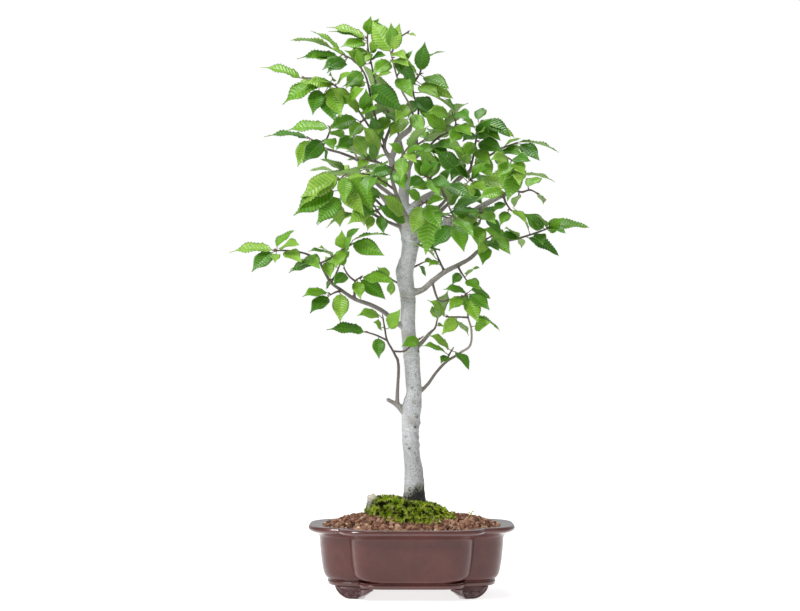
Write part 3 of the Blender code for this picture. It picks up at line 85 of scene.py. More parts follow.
# The cloud foot's lower edge, from the pot's end to its front: a share of the half span, and the
# height there in millimetres.
FOOT_EDGE = (
    (-1.0, 11.2), (-0.82, 5.3), (-0.66, 2.2), (-0.48, 0.0), (-0.06, 0.0), (0.27, 2.8), (0.64, 6.2),
    (1.0, 11.2),
)
DRAIN_X = 42 * MM
DRAIN_RADIUS = 9 * MM
SCREEN_HALF = 14 * MM
SCREEN_THICKNESS = 1.2 * MM
WIRES = 9
WIRE_STEPS = 32
WIRE_RADIUS = 0.34 * MM
WEAVE_HEIGHT = 0.22 * MM

# Soil and moss.
SOIL_BOTTOM = 21 * MM
SOIL_RIM_HEIGHT = 70.6 * MM
SOIL_TOP_HEIGHT = 82 * MM
SOIL_TOP_HALF_WIDTH = 50 * MM
SOIL_TOP_HALF_DEPTH = 42 * MM
SOIL_RELIEF = 1.3 * MM
MOSS_CENTRE = Vector((-4 * MM, -8 * MM, 0))
MOSS_HALF_WIDTH = 43 * MM
MOSS_HALF_DEPTH = 31 * MM
MOSS_PEAK = 18 * MM
# How steeply the mound's side falls: on its right and, added to that, on its left.
MOSS_FALL = (1.9, 6.5)
STUB_PLACE = Vector((-42 * MM, -6 * MM, 0))
STUB_RADIUS = 4.5 * MM
STUB_TOP = 106.5 * MM

# Leaves.
LEAF_LENGTH = 42 * MM
LEAF_LONGEST = 50 * MM
LEAF_FOLD = 0.16
LEAF_WAVE = 0.7 * MM
EDGE_STATIONS = (0.13, 0.36, 0.60, 0.82)
PETIOLE_LONGEST = 12 * MM
SHORT_STALK = 3 * MM
SHARPEST_KINK = -0.2
TWIG_END_MARGIN = 0.9 * MM
# Along each stretch of twig, this many steps are tried for a leaf's foot.
NEAR_STEPS = 12
# Lengths of the leaves set by rule, in millimetres.
RULED_LENGTHS = (33, 43)

# Each twig is cut off just outside its branch, so that the branch keeps a short spur.
SPUR_LENGTH = 4 * MM
# A side shoot starts a little below the point it is named for, so that no two edges coincide.
START_SHIFT = 0.45 * MM
TWIG_RADIUS = 1.25 * MM
TWIG_TIP_RADIUS = 0.95 * MM

# Branches of the tree: places in the view in pixels, depth behind the trunk and radius in
# millimetres.
BRANCHES = {
    "trunk": (
        (414.4, 553.6, 0, 12.4), (414.5, 520, 0, 13.6), (414.4, 506, 0, 13.4), (414.1, 499, 0, 12.0),
        (414, 490, 0, 11.0), (414.2, 476, 0, 10.0), (411.9, 457, 0, 8.6), (410.4, 437, 0, 8.7),
        (411, 416, 0, 9.8), (412, 406, 0, 10.2), (413.9, 393, 0, 8.0), (412.2, 368, 0, 8.2),
        (411.2, 354, 0, 8.5), (409.4, 342, 0, 7.5), (408, 322, 0, 7.5), (408, 300, 0, 7.7),
        (406.5, 288, 0, 8.2), (405, 272, 0, 9.2), (409, 255, 0, 8.3), (410.9, 238, 0, 9.4),
        (410.3, 224, 0, 10.2), (408.5, 211, 1, 7.6),
    ),
    "leader": ((409, 216, 0, 7.6), (404, 205, 2, 6.0), (403, 196, 3, 5.2), (404, 184, 4, 4.7)),
    "leader_left": ((404, 186, 4, 4.4), (397, 178, 4, 4.0), (393.6, 170, 3, 3.6), (391, 158, 2, 3.3)),
    "leader_thin": (
        (391.4, 160, 2, 2.6), (385, 150, 0, 2.1), (384.5, 144, -1, 1.9), (387, 136, -2, 1.7),
        (390, 128, -3, 1.5),
    ),
    "leader_stub": (
        (391, 160, 2, 3.0), (395, 149, 3, 3.3), (397, 142, 3, 3.3), (401, 136, 4, 3.3), (409, 130, 4, 3.1),
    ),
    "leader_right": (
        (404, 187, 4, 4.2), (407, 178, 9, 3.5), (408.5, 168, 14, 3.0), (412, 160, 18, 2.8),
        (418, 154, 21, 2.7), (416.5, 146, 24, 2.3), (416, 136, 27, 1.9),
    ),
    "pale_fork": (
        (409, 214, 2, 5.6), (418, 203, 9, 4.2), (433, 194, 19, 3.6), (447, 192, 27, 3.2),
        (452, 186, 31, 2.9), (461, 177, 37, 2.6), (470, 171, 42, 2.3), (479, 163, 47, 1.9),
    ),
    "upper_right": (
        (411, 237, 0, 5.4), (428, 229, -8, 4.5), (455.7, 220, -18, 4.0), (469.7, 214, -23, 3.5),
        (480.6, 207, -28, 3.2), (493, 200, -32, 2.8), (503, 195, -35, 2.5), (512, 190, -37, 2.1),
        (520, 180, -39, 1.7),
    ),
    "lower_right": (
        (408, 293, 0, 4.0), (422, 290, -2, 3.1), (432, 281.5, -6, 2.8), (444.6, 272, -10, 2.7),
        (457.4, 265.5, -12, 2.4), (470, 258.5, -13, 2.2), (480, 249.5, -13, 2.0), (489, 245, -12, 1.8),
        (507, 241, -10, 1.6),
    ),
    "left_low": (
        (409, 230, 0, 3.0), (398, 226, -4, 2.0), (385, 220.5, -8, 1.7), (373, 214, -11, 1.5),
        (361, 207, -13, 1.4),
    ),
    "left_high": ((408, 226, 0, 2.6), (397, 221, 4, 1.9), (388.5, 213, 8, 1.6), (376, 200, 12, 1.4)),
    "upper_left": (
        (405, 207, 2, 3.4), (390, 194, 14, 2.3), (376, 183, 22, 2.0), (368, 171, 28, 1.8),
        (358, 160.5, 32, 1.7), (341, 153, 36, 1.5), (330, 150, 38, 1.4),
    ),
    "left_lower": (
        (407, 328, 0, 3.6), (397, 323, -3, 2.6), (384, 312, -6, 2.4), (371, 305, -8, 2.3),
        (354.6, 299, -10, 2.1), (342, 290.7, -12, 1.9), (331, 282.4, -14, 1.7), (323.4, 269.6, -15, 1.5),
    ),
    "left_shoot": (
        (410, 413, 0, 4.4), (401, 409, -3, 3.2), (397.5, 402, -6, 2.2), (397.8, 385, -10, 1.7),
        (398.6, 370, -13, 1.6), (397.7, 360, -15, 1.5),
    ),
    "cut_stub": ((400, 407, -4, 2.4), (393, 402.5, -5, 2.2), (387.5, 399.5, -5, 2.1)),
    "right_thin": (
        (413, 397, 0, 3.4), (421, 391, 0, 2.0), (428.7, 383, 0, 1.8), (435.7, 373, -1, 1.6),
        (446, 362, -2, 1.5), (458.7, 354, -4, 1.4),
    ),
    "right_short": ((411, 352, 0, 4.0), (421.7, 342.5, 3, 2.3), (429, 334, 5, 1.9)),
    "back_left": ((408, 240, 0, 5.0), (399, 222, 28, 3.2), (388, 205, 52, 2.4), (378, 192, 72, 1.7)),
    "back_right": ((412, 248, 0, 5.0), (424, 230, 26, 3.4), (438, 214, 48, 2.5), (450, 202, 68, 1.7)),
    "back_up": ((404, 200, 4, 4.0), (408, 180, 24, 2.9), (404, 158, 42, 2.3), (400, 140, 54, 1.7)),
    "front_up": ((409, 224, 0, 4.0), (401, 207, -24, 2.7), (395, 190, -44, 2.1), (391, 174, -58, 1.6)),
    "front_right": ((411, 242, 0, 4.0), (420, 228, -26, 2.7), (434, 212, -46, 2.1), (446, 199, -60, 1.6)),
}

Leaf = namedtuple("Leaf", "node base chord normal droop")
Spray = namedtuple("Spray", "branch point more twigs leaves")

# Sprays. Each has its branch, the number of the point there that it grows from, how many leaves are
# set by rule, its twigs (places in the view, depth in millimetres; a side twig starts on a point of
# another) and its leaves (foot and tip in the view, share of the swing towards the viewer, share in
# which the upper face looks at the viewer).
SPRAYS = {
    "spray_top": Spray("leader_thin", 4, 1, [
        [(388, 112, 6), (381, 97, 12), (375, 80, 16), (371, 62, 19), (368, 48, 21), (367.4, 38, 22)],
    ], [
        (367.4, 34, 371, 15.6, 0.6, 0.8), (367, 41, 327.8, 31.4, 0.4, 0.3), (368, 50, 348, 56, 0.6, 0.6),
        (371, 58, 387, 55, 0.7, 0.7), (375, 78, 392, 72, 0.9, 0.7),
    ]),
    "spray_top_left": Spray("leader_thin", 2, 1, [
        [
            (378, 126, -10), (372, 104, -18), (367, 80, -20), (361.7, 69, -20), (353, 60, -19),
            (342, 54, -17),
        ],
    ], [
        (336, 51, 281, 38.4, 0.1, 0.0), (338, 57, 296.6, 59.3, 0.4, 0.35), (345, 60, 322, 70, 0.8, 0.7),
        (361, 72, 344, 90, 0.8, 0.8), (366, 84, 401, 111, 0.9, 0.75), (362, 68, 356, 46, 0.5, 0.6),
    ]),
    "spray_left_high": Spray("leader_thin", 1, 1, [
        [
            (375, 136, -12), (365.5, 121, -20), (357, 108.6, -25), (344.5, 94.6, -28), (334, 85, -29),
            (322, 79, -28), (304, 78, -26),
        ],
    ], [
        (300, 78, 260.3, 67.6, 0.5, 0.35), (320, 82, 278.8, 99.5, 0.7, 0.5),
        (319, 90, 312.6, 115.4, 0.6, 0.7), (330, 88, 333, 120, 0.6, 0.95), (332, 80, 321, 63, 0.8, 0.6),
        (349, 98, 357, 80, 0.8, 0.7),
    ]),
    "spray_left_mid": Spray("upper_left", 6, 1, [
        [(322, 147, 37), (314, 141, 35), (309, 138, 33)],
        [(322, 147, 37), (328, 136, 31), (331, 127, 27)],
    ], [
        (328.5, 126.3, 282, 130, 0.5, 0.4), (309, 139, 262.2, 137.8, 0.4, 0.25),
        (322, 141, 302.5, 163.4, 0.9, 0.9), (326, 148, 327, 162, -0.5, 0.6),
        (331, 125, 345, 117, 0.7, 0.5),
    ]),
    "spray_left_inner": Spray("upper_left", 4, 1, [
        [(354, 150, 19), (353, 140, 8), (356, 130, 0), (362, 121, -5)],
    ], [
        (352, 136, 333.6, 149, 0.7, 0.9), (357, 134, 369, 158, 0.6, 0.9), (356, 119, 327.9, 130, 0.7, 0.7),
        (364, 112, 352.8, 127.6, 0.7, 0.8),
    ]),
    "spray_left_low": Spray("left_low", 4, 0, [
        [(354, 203, -18), (346, 198, -22), (340, 190, -24), (340, 180, -25), (346, 174, -25)],
    ], [
        (338, 177, 300.2, 197.8, 0.7, 0.75), (334, 191, 286.7, 219.9, 0.6, 0.6),
        (340, 198.5, 310, 218.9, 0.7, 0.7), (337, 203, 340, 227.2, -0.3, 0.6),
        (347.7, 176, 347, 204.2, 0.6, 0.95), (352.8, 176, 372.5, 212.5, 0.5, 0.6),
    ]),
    "spray_left_under": Spray("left_low", 2, 1, [[(379, 213, -16), (375, 207, -22)]], [
        (372, 206, 352, 216, 0.7, 0.8), (372, 216, 367.4, 231, 0.3, 0.7), (384, 211, 382, 228, 0.4, 0.8),
    ]),
    "spray_left_black": Spray("left_high", 3, 3, [[(368, 192, 12), (362, 184, 10), (360, 176, 6)]], [
        (359, 172, 385, 167, 0.6, 0.3), (364, 186, 351, 200, 0.4, 0.6),
    ]),
    "spray_leader_left": Spray("leader_left", 2, 3, [[(385, 165, -10), (377, 162, -16), (368, 160, -20)]], [
        (376, 158, 366, 143, 0.8, 0.8), (368, 162, 356, 171, 0.6, 0.6),
    ]),
    "spray_front_up": Spray("front_up", 3, 2, [[(394, 165, -66), (401, 158, -70), (406, 150, -73)]], [
        (397, 174, 378, 191.5, 0.6, 0.8), (402, 152, 386, 142, 0.5, 0.8), (406, 148, 424, 146, 0.6, 0.7),
    ]),
    "spray_upper_mid": Spray("leader_stub", 4, 1, [
        [
            (413, 120, 1), (412, 110.5, -3), (407.6, 101, -6), (403, 93, -9), (398, 80, -11),
            (394, 66, -12), (391, 54, -12),
        ],
        [(391, 54, -12), (397, 40, -10), (407, 32.5, -8)],
    ], [
        (390.4, 49, 388.5, 21, 0.5, 0.95), (392, 60, 409, 67, 0.9, 0.6), (390, 62, 372, 75, 0.8, 0.8),
        (397, 76, 413, 98, 0.8, 0.6), (410, 104, 396, 122, 0.7, 0.8), (408, 32, 418, 35, 0.1, 0.5),
    ]),
    "spray_top_right": Spray("leader_right", 6, 0, [
        [(418, 120, 30), (418, 106, 32), (414, 96.5, 32), (413, 84, 31), (418, 76, 30)],
        [(413, 84, 31), (420, 73, 40), (422, 64, 44)],
    ], [
        (420, 73, 425, 41.5, 0.6, 0.9), (424, 77, 449.7, 89.3, 0.8, 0.5), (421, 84, 453.6, 98.9, 0.5, 0.6),
        (411, 80, 398, 63, 0.6, 0.6), (421, 62, 445, 51.7, -0.4, 0.05), (418, 97, 433, 116, 0.8, 0.8),
        (424, 92, 465, 108.4, 0.3, 0.1),
    ]),
    "spray_right_high": Spray("leader_right", 4, 0, [
        [(427, 148, 18), (439, 137, 14), (450.6, 131, 11), (455.7, 124, 9), (453, 115, 7)],
    ], [
        (448, 114, 426, 112, 0.8, 0.8), (456, 113, 470.5, 120, 0.9, 0.8),
        (460, 128, 450.4, 145.4, 0.7, 0.8), (449, 132, 430.6, 131.4, 0.5, 0.3),
        (431, 144, 451, 148, 0.8, 0.6), (455, 112, 444, 98, 0.6, 0.6),
    ]),
    "spray_right_arch": Spray("pale_fork", 6, 0, [
        [(473, 158, 35), (475, 146, 29), (477, 134, 25), (480, 124, 23)],
    ], [
        (483, 120, 511, 137.8, 0.7, 0.5), (474, 126, 462, 120, 0.8, 0.8), (480, 134, 496, 133, 0.9, 0.7),
        (474, 142, 460, 158, 0.7, 0.8), (479, 142, 504, 152, 0.8, 0.8), (478, 120, 484, 108, -0.6, 0.3),
    ]),
    "spray_right_far": Spray("pale_fork", 7, 1, [[(492, 154, 45), (505, 147, 43), (516, 143, 42)]], [
        (496, 145, 518.6, 149.2, 0.9, 0.6), (521, 144, 540, 161, 0.6, 0.7),
        (519, 142, 555.5, 161.5, -0.4, 0.05), (498, 154, 507, 172, 0.5, 0.8),
        (508, 144, 529, 152, -0.6, 0.4),
    ]),
    "spray_right_mid": Spray("upper_right", 8, 0, [[(522, 172, -41), (517, 164, -43), (510, 159, -44)]], [
        (514, 158, 531, 161.5, 0.8, 0.8), (518, 166, 519.3, 186, 0.8, 0.9),
        (524, 174, 553.7, 190.8, -0.3, 0.05), (507, 158, 490, 160, 0.8, 0.8),
        (510, 163, 498, 178, 0.8, 0.7),
    ]),
    "spray_right_curl": Spray("upper_right", 7, 0, [[(522, 192, -31), (530, 190, -24), (537, 193, -18)]], [
        (538, 195, 545, 207, -0.7, 0.5), (519, 195, 514, 208, -0.6, 0.5), (528, 187, 541, 178, -0.8, 0.3),
    ]),
    "spray_right_edge": Spray("upper_right", 6, 0, [[(506, 203, -40), (510, 209, -44)]], [
        (505, 202, 493, 212, 0.5, 0.5), (512, 210, 527, 224, 0.4, 0.2), (508, 212, 500, 226, 0.5, 0.6),
    ]),
    "spray_right_tip": Spray("lower_right", 8, 0, [
        [(518, 238.5, -9), (528, 235.5, -8), (540, 231.4, -7), (548, 228.5, -6)],
    ], [
        (551, 227, 590, 227.8, 0.2, 0.35), (547, 226, 534.6, 211.9, 0.7, 0.4),
        (526, 237.4, 560, 257.8, 0.4, 0.4), (529, 231, 512, 207, 0.3, 0.25),
        (538, 234, 544.5, 247, 0.8, 0.6), (522, 239, 522, 250, -0.5, 0.5), (518, 236, 503, 226, 0.8, 0.4),
    ]),
    "spray_right_droop": Spray("lower_right", 6, 0, [[(484, 241, -21), (490, 237, -26)]], [
        (493, 237, 510.7, 254.8, 0.7, 0.6), (489, 241, 479, 258, 0.3, 0.9), (481, 240, 466, 233, 0.7, 0.6),
    ]),
    "spray_right_hang": Spray("upper_right", 4, 0, [[(481, 215, -36), (480, 222, -41)]], [
        (478, 226, 480, 249, 0.6, 0.9), (486, 217, 500.8, 236.7, 0.3, 0.3), (475, 217, 462, 226, 0.6, 0.7),
    ]),
    "spray_mid_edge": Spray("upper_right", 2, 1, [[(452, 213, -33), (449, 207, -39)]], [
        (451, 216, 477.2, 245.7, 0.2, 0.2), (455, 224, 463.4, 249.2, 0.6, 0.4),
        (450, 204, 463, 190, 0.6, 0.7),
    ]),
    "spray_centre_front": Spray("front_right", 1, 0, [
        [(414, 215, -36), (418, 207, -46), (426, 202, -52)],
    ], [
        (422, 204.2, 411.7, 234.8, 0.7, 0.95), (427, 203, 445.3, 238, 0.5, 0.9),
        (431, 212, 425.5, 255.2, 0.2, 0.9), (420, 199, 405, 190, 0.5, 0.8),
    ]),
    "spray_centre_right": Spray("front_right", 3, 0, [
        [(441, 189, -66), (433, 181, -70), (426, 176, -72)],
    ], [
        (428, 181, 449, 189, 0.7, 0.8), (424, 172, 440, 162, 0.5, 0.7), (422, 178, 408, 188, 0.7, 0.8),
        (446, 185, 472.7, 199, 0.5, 0.6), (440, 183, 452, 168, 0.4, 0.7),
    ]),
    "spray_mid_right": Spray("pale_fork", 4, 1, [[(458, 190, 19), (464, 186, 10), (470, 180, 3)]], [
        (463.8, 181, 469.5, 197, 0.6, 0.7), (468, 177, 452, 166, 0.7, 0.7), (473, 182, 487, 192, 0.8, 0.8),
        (473, 176, 488, 168, 0.8, 0.7),
    ]),
    "spray_low_right": Spray("lower_right", 2, 1, [
        [(436.4, 296, -14), (440, 301, -17), (452, 299, -21), (466, 295.5, -24)],
    ], [
        (465, 291.5, 443, 289.6, 0.4, 0.5), (463, 297, 448.6, 312, 0.7, 0.6),
        (470.3, 294, 490, 310.6, 0.6, 0.6), (471, 290, 492, 304, -0.5, 0.5),
        (468, 298, 476.7, 311, 0.8, 0.7),
    ]),
    "spray_low_right_up": Spray("lower_right", 3, 2, [[(440, 262, -4), (436, 253, 2)]], [
        (437, 262, 426, 268, 0.5, 0.5), (434, 249, 424, 240, -0.5, 0.6),
    ]),
    "spray_low_right_hang": Spray("lower_right", 4, 0, [[(461, 272, -20), (465, 278, -24)]], [
        (459, 273, 450, 286, 0.5, 0.8), (467, 280, 481, 290, 0.6, 0.7), (467, 275, 480, 268, 0.8, 0.5),
    ]),
    "spray_right_stem": Spray("right_thin", 5, 0, [
        [(470, 345.7, -6), (471.4, 330, -8), (468, 317, -10), (467.4, 308, -11)],
        [(468, 317, -10), (458, 317, -16), (448, 317, -20)],
    ], [
        (475, 326, 491, 322, 0.9, 0.9), (471, 315, 500, 331, 0.3, 0.05), (458, 319, 441.6, 337, 0.6, 0.85),
        (445, 316, 427, 299.8, 0.5, 0.5), (454, 321, 469, 336, -0.4, 0.1), (466, 306, 458, 296, -0.8, 0.5),
    ]),
    "spray_right_foot": Spray("right_thin", 4, 0, [[(449, 355, -9), (452, 350, -13)]], [
        (449, 349, 427.6, 335, 0.6, 0.5), (446, 353, 421.2, 346, 0.7, 0.4), (449, 356, 441, 364, 0.7, 0.6),
        (456, 352, 469, 370.6, 0.5, 0.05),
    ]),
    "spray_right_short": Spray("right_short", 2, 1, [[(435, 328, 5), (437, 321, 2)]], [
        (437, 318, 432, 306, -0.4, 0.7), (439, 326, 450, 332, -0.8, 0.5),
    ]),
    "spray_left_shoot": Spray("left_shoot", 5, 0, [
        [(393, 351, -17), (387, 340, -18), (385, 330, -18), (383, 318, -17)],
        [(393, 351, -17), (404.4, 351, -19), (412, 345, -20), (421, 338, -19)],
        [(387, 340, -18), (377, 335.5, -19), (368, 332.5, -20)],
    ], [
        (378, 338, 378.4, 361, 0.6, 0.95), (364, 332, 326.1, 330, 0.2, 0.4),
        (389, 328, 400.8, 308.7, 0.6, 0.8), (379, 315, 356.8, 315.7, 0.7, 0.6),
        (422, 335, 404.6, 342.5, 0.6, 0.8), (381, 328, 373, 322, 0.7, 0.8),
    ]),
    "spray_left_reach": Spray("left_lower", 7, 0, [
        [(320, 263, -17), (309, 255, -19), (296, 251.5, -21), (284, 250.5, -22), (276, 250.6, -23)],
        [(320, 263, -17), (330, 258.5, -22), (341, 250.5, -26), (350, 245.5, -28)],
    ], [
        (272, 250, 229.3, 252.7, 0.4, 0.35), (272, 252.5, 245.6, 268, 0.7, 0.6),
        (276, 254, 275.6, 268, 0.5, 0.7), (277, 247, 294.7, 230.1, -0.6, 0.05),
        (281, 247.5, 300, 245, 0.9, 0.6), (284, 252.5, 302, 264.5, 0.8, 0.6),
        (306, 257, 319.6, 272, 0.8, 0.8), (312, 260, 288, 273, -0.7, 0.4),
        (330, 254, 307.5, 251.4, 0.5, 0.3), (342, 247, 356.6, 231.6, 0.8, 0.85),
        (353, 243, 384.6, 255.9, 0.5, 0.7), (353, 240, 391, 235.5, -0.4, 0.1),
    ]),
    "spray_left_fork": Spray("left_lower", 4, 0, [
        [(354.4, 288, -14), (355.5, 281, -16), (360, 277.5, -18)],
        [(355.5, 281, -16), (349, 276, -20), (345, 270, -22)],
    ], [
        (363, 277, 395, 283, 0.6, 0.5), (358, 281, 361.7, 301, 0.7, 0.7), (361, 280, 377.2, 306, 0.6, 0.6),
        (345, 274, 331, 287, 0.8, 0.8), (344, 266, 336, 252, -0.5, 0.5),
    ]),
    "spray_left_hang": Spray("left_lower", 5, 0, [[(336, 292, -20), (330, 295, -24)]], [
        (341, 294, 340.2, 322.7, 0.6, 0.95), (328, 297, 309.6, 313.8, 0.7, 0.6),
        (326, 292, 302, 297, 0.7, 0.5),
    ]),
    "spray_left_behind": Spray("left_lower", 6, 0, [[(336, 274, -4), (340, 264, 4)]], [
        (341, 262, 346, 248, -0.6, 0.7), (337, 268, 324, 256, -0.6, 0.6), (334, 278, 326, 290, -0.4, 0.6),
    ]),
    "spray_trunk_left": Spray("trunk", 16, 1, [[(396, 282, 14), (391, 279, 17)]], [
        (389, 277, 377, 267, -0.3, 0.5), (391, 281, 389.7, 297, -0.4, 0.7),
    ]),
    "spray_trunk_right": Spray("trunk", 17, 1, [[(416, 266, 14), (422, 263, 17)]], [
        (420, 267, 427, 279, -0.4, 0.6), (425, 262, 441, 266, -0.7, 0.5),
    ]),
    "spray_back_left": Spray("back_left", 3, 7, [[(366, 182, 84), (352, 176, 94), (340, 172, 100)]], []),
    "spray_back_left_low": Spray("back_left", 2, 6, [[(372, 212, 60), (356, 214, 70), (342, 212, 76)]], []),
    "spray_back_right": Spray("back_right", 3, 7, [[(462, 192, 80), (476, 184, 90), (488, 180, 97)]], []),
    "spray_back_right_low": Spray("back_right", 2, 6, [[(448, 218, 58), (462, 220, 68), (476, 218, 76)]], [

    ]),
    "spray_back_up": Spray("back_up", 3, 7, [[(396, 124, 60), (388, 108, 62), (380, 94, 62)]], []),
    "spray_back_mid": Spray("back_up", 2, 7, [[(416, 146, 54), (430, 136, 64), (442, 128, 72)]], []),
    "spray_back_centre": Spray("back_up", 1, 6, [[(392, 172, 40), (378, 162, 56), (366, 154, 68)]], []),
    "spray_front_left": Spray("front_up", 2, 4, [[(384, 182, -56), (374, 176, -66), (364, 174, -74)]], []),
    "spray_front_low": Spray("front_right", 2, 3, [[(444, 214, -58), (452, 216, -68)]], []),
}

# Ways to turn a leaf that would touch something: swing to the side, lift and share of its size.
TURNS = ((0, 0), (13, 0), (-13, 0), (0, 13), (0, -13), (14, 14), (-14, 14), (14, -14), (-14, -14),
         (28, 0), (-28, 0), (0, 28), (0, -28), (30, 20), (-30, 20), (30, -20), (-30, -20), (48, 0), (-48, 0))
SIZES = (1.0, 0.86, 0.72)
# Ways to bend a twig that would touch something: depth added at its far end, in millimetres.
BENDS = (0, 5, -5, 10, -10, 16, -16, 24, -24)

# Where the middle of the pot lies in the frame.
POT_LOW, POT_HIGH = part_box("pot")
SHIFT = Vector(((POT_LOW.x + POT_HIGH.x) / 2, (POT_LOW.y + POT_HIGH.y) / 2, 0.0))
# The camera's sensor in millimetres, and the photo's width in pixels.
SENSOR_WIDTH = 36.0
PHOTO_WIDTH = 800.0

# Fine leaf.
VEIN_PAIRS = 10
FIRST_VEIN = 0.05
VEIN_STEP = 0.088
VEIN_SLANT = 0.20
ROWS_PER_VEIN = 3
ACROSS = np.array([-1.0, -0.74, -0.38, -0.05, 0.0, 0.05, 0.38, 0.74, 1.0])
# Width over length of a leaf that points at the viewer or away, and what is added for one seen in full.
NARROW_SHARE = 0.29
SEEN_SHARE = 0.26
# How much longer the inner leaves look than their places in the view.
INNER_STRETCH = 1.14
TIP_START = 0.56
TIP_DRAW = 0.5
BLADE_HALF_THICKNESS = 0.15 * MM
RIB_DEPTH = 0.40 * MM
PLEAT_HEIGHT = 0.95 * MM
CRENATION = 0.05
MATCH = 0.05 * MM

# Bark and twigs.
REMESH_SIZE = 0.85 * MM
SOFTEN_STEPS = 5
BRANCH_STEPS = 6
TWIG_STEPS = 7
# How much wider a branch is at its foot, and how far that reaches in foot radii.
COLLAR_WIDTH = 0.45
COLLAR_REACH = 1.6
# Over how many millimetres the radii blend at a fork.
FORK_BLEND = 0.25
TRUNK_SIDES = 28
BRANCH_SIDES = 12
TWIG_SIDES = 8
STALK_RADII = (0.62 * MM, 0.45 * MM, 0.48 * MM, 0.3 * MM)
BUD_LENGTH = 4.5 * MM
BUD_SHARE = 0.6
# A bud from its foot to its tip: share of its length and radius in millimetres.
BUD_PROFILE = ((0.0, 0.45), (0.2, 0.75), (0.45, 0.8), (0.75, 0.45), (1.0, 0.08))
# Marks on the trunk: place in the view, depth, radius and height in millimetres, and how dark it is.
TRUNK_MARKS = (
    (416.8, 417, -6.5, 1.7, 0.6, 1.3), (415, 427, -8, 1.8, 0.5, 1.4), (409.3, 448.5, -9, 1.8, 0.5, 1.4),
    (419.8, 423, 0, 2.2, 1.3, 0.9), (419.8, 437, 0, 1.8, 1.1, 0.6), (418.6, 444.5, -2, 2.2, 1.2, 0.3),
    (419.2, 447, -2, 1.4, 0.2, 1.0), (405.5, 436.5, -6.5, 1.5, 0.3, 0.9), (406.5, 444.5, -7.5, 1.5, 0.3, 0.7),
    (421, 485.5, -5, 1.5, 0.2, 0.8), (396.5, 270, -7, 5.0, 1.6, 0.2), (418, 300, -4, 2.6, 0.8, 1.1),
    (418.5, 351, -4, 2.8, 0.9, 1.1), (405, 409, -8, 4.0, 0.8, 0.2), (406, 325, -8, 3.0, 0.8, 0.2),
    (412, 388, -8, 1.8, 0.5, 0.8), (408, 372, -8, 1.4, 0.3, 0.7), (414, 338, -7, 1.5, 0.3, 0.7),
)
# Rings round the trunk: height in the view and how far the ridge stands out, in millimetres.
TRUNK_RINGS = (
    (298, 0.7), (301.5, 0.6), (347, 0.35), (358, 0.3), (431, 0.4), (458, 0.25), (478, 0.3), (240, 0.35),
    (262, 0.35),
)
# The crease on the trunk: its middle in the view, its direction, and its half length in millimetres.
CREASE_PLACE = (402.8, 279.5, -4)
CREASE_WAY = (0.69, 0.0, 0.72)
CREASE_REACH = 8
# The root stub from its foot up: height and shift to the right in millimetres, share of its radius.
STUB_STEPS = (
    (62, 0, 0.85), (87, -0.8, 0.9), (94, -0.9, 0.85), (98.5, -0.3, 1.0), (101.6, 0.8, 1.3),
    (103.8, 1.4, 1.05), (104.9, 1.6, 0.5),
)
# Branches that carry on the line of the one before.
RUNS_ON = ("trunk", "leader", "leader_left", "leader_thin", "leader_stub")

# Fine pot.
POT_STEPS = 26
DRAIN_SIDES = 40
DRAIN_CUT = 40 * MM
# Edges sharper than this, in degrees, stay crisp.
POT_SHARPEST = 38
PROFILE_STEPS = 5
FOOT_SAMPLES = 44
PANEL_FOOT = 20.4 * MM
PANEL_CORNER = 7.0 * MM
# Face of a foot from its lower edge up: how far it stands out in millimetres, and share of the height.
FOOT_FACE = ((-0.9, 0.0), (-0.2, 0.05), (0.0, 0.14), (0.15, 0.4), (0.1, 0.66), (-1.2, 0.78), (-1.6, 1.0))
SCROLL_STEPS = 33
EDGE_STEPS = 59
# Scrolls on a foot: place along it, height and size in millimetres, and number of turns.
SCROLLS = ((-0.36, 4.6, 2.9, 1.9), (-0.08, 3.6, 2.1, -1.7), (-0.62, 6.6, 1.6, -1.4), (0.3, 7.0, 2.0, 1.6))

# Soil and moss.
SOIL_STEPS = 26
SOIL_SHARES = (1.0, 0.97, 0.88, 0.78, 0.66, 0.54, 0.42, 0.3, 0.2, 0.1, 0.0)
GRANULES_PER_M2 = 90000.0
GRANULE_SIZES = (3.2 * MM, 9.0 * MM)
SHOOTS_PER_M2 = 1100000.0
SHOOT_SIZES = (1.5 * MM, 5.2 * MM)
CHIP_SIZES = (3.0 * MM, 7.5 * MM)
# The mound: size of its lumps, the hollow round the trunk, and how much lower its right side is.
CLUMP_SIZE = 6.5 * MM
SMALL_CLUMP_SIZE = 3 * MM
HOLLOW_DEPTH = 5.5 * MM
HOLLOW_WIDTH = 15 * MM
MOSS_SLOPE = 3.5 * MM
# Litter: how far it lies from the trunk in metres, and how many chips per square metre.
LITTER = (("litter", 1.0, 22000.0), ("near_litter", 22 * MM, 90000.0))
MOSS_SHARES = (
    1.0, 0.99, 0.975, 0.955, 0.93, 0.9, 0.85, 0.8, 0.75, 0.7, 0.65, 0.6, 0.54, 0.48, 0.42, 0.36, 0.3, 0.25,
)
# Thin moss on the soil: middle and half sizes of each patch, in millimetres.
MOSS_SKIRTS = ((3, -38, 32, 22), (28, -27, 18, 13), (-38, -16, 9, 12))
SKIRT_SHARES = (1.0, 0.9, 0.8, 0.7, 0.6, 0.5, 0.4, 0.3, 0.2, 0.1, 0.0, -0.08, -0.16, -0.24, -0.32, -0.4)
# Thin sprouts on the right: foot, length and lean, in millimetres.
SPROUTS = (
    (31, -8, 8, 0.5), (34, -12, 6, -0.4), (37, -16, 7, 0.7), (42, -10, 6, 0.3), (61, -8, 7, 0.3),
    (30, -20, 8, 0.2),
)
SEED = 11

# Studio: half width of the floor, its own glow, and how much the white sky lights the part.
FLOOR_REACH = 20.0
FLOOR_GLOW = 0.78
SKY_LIGHT = 0.39
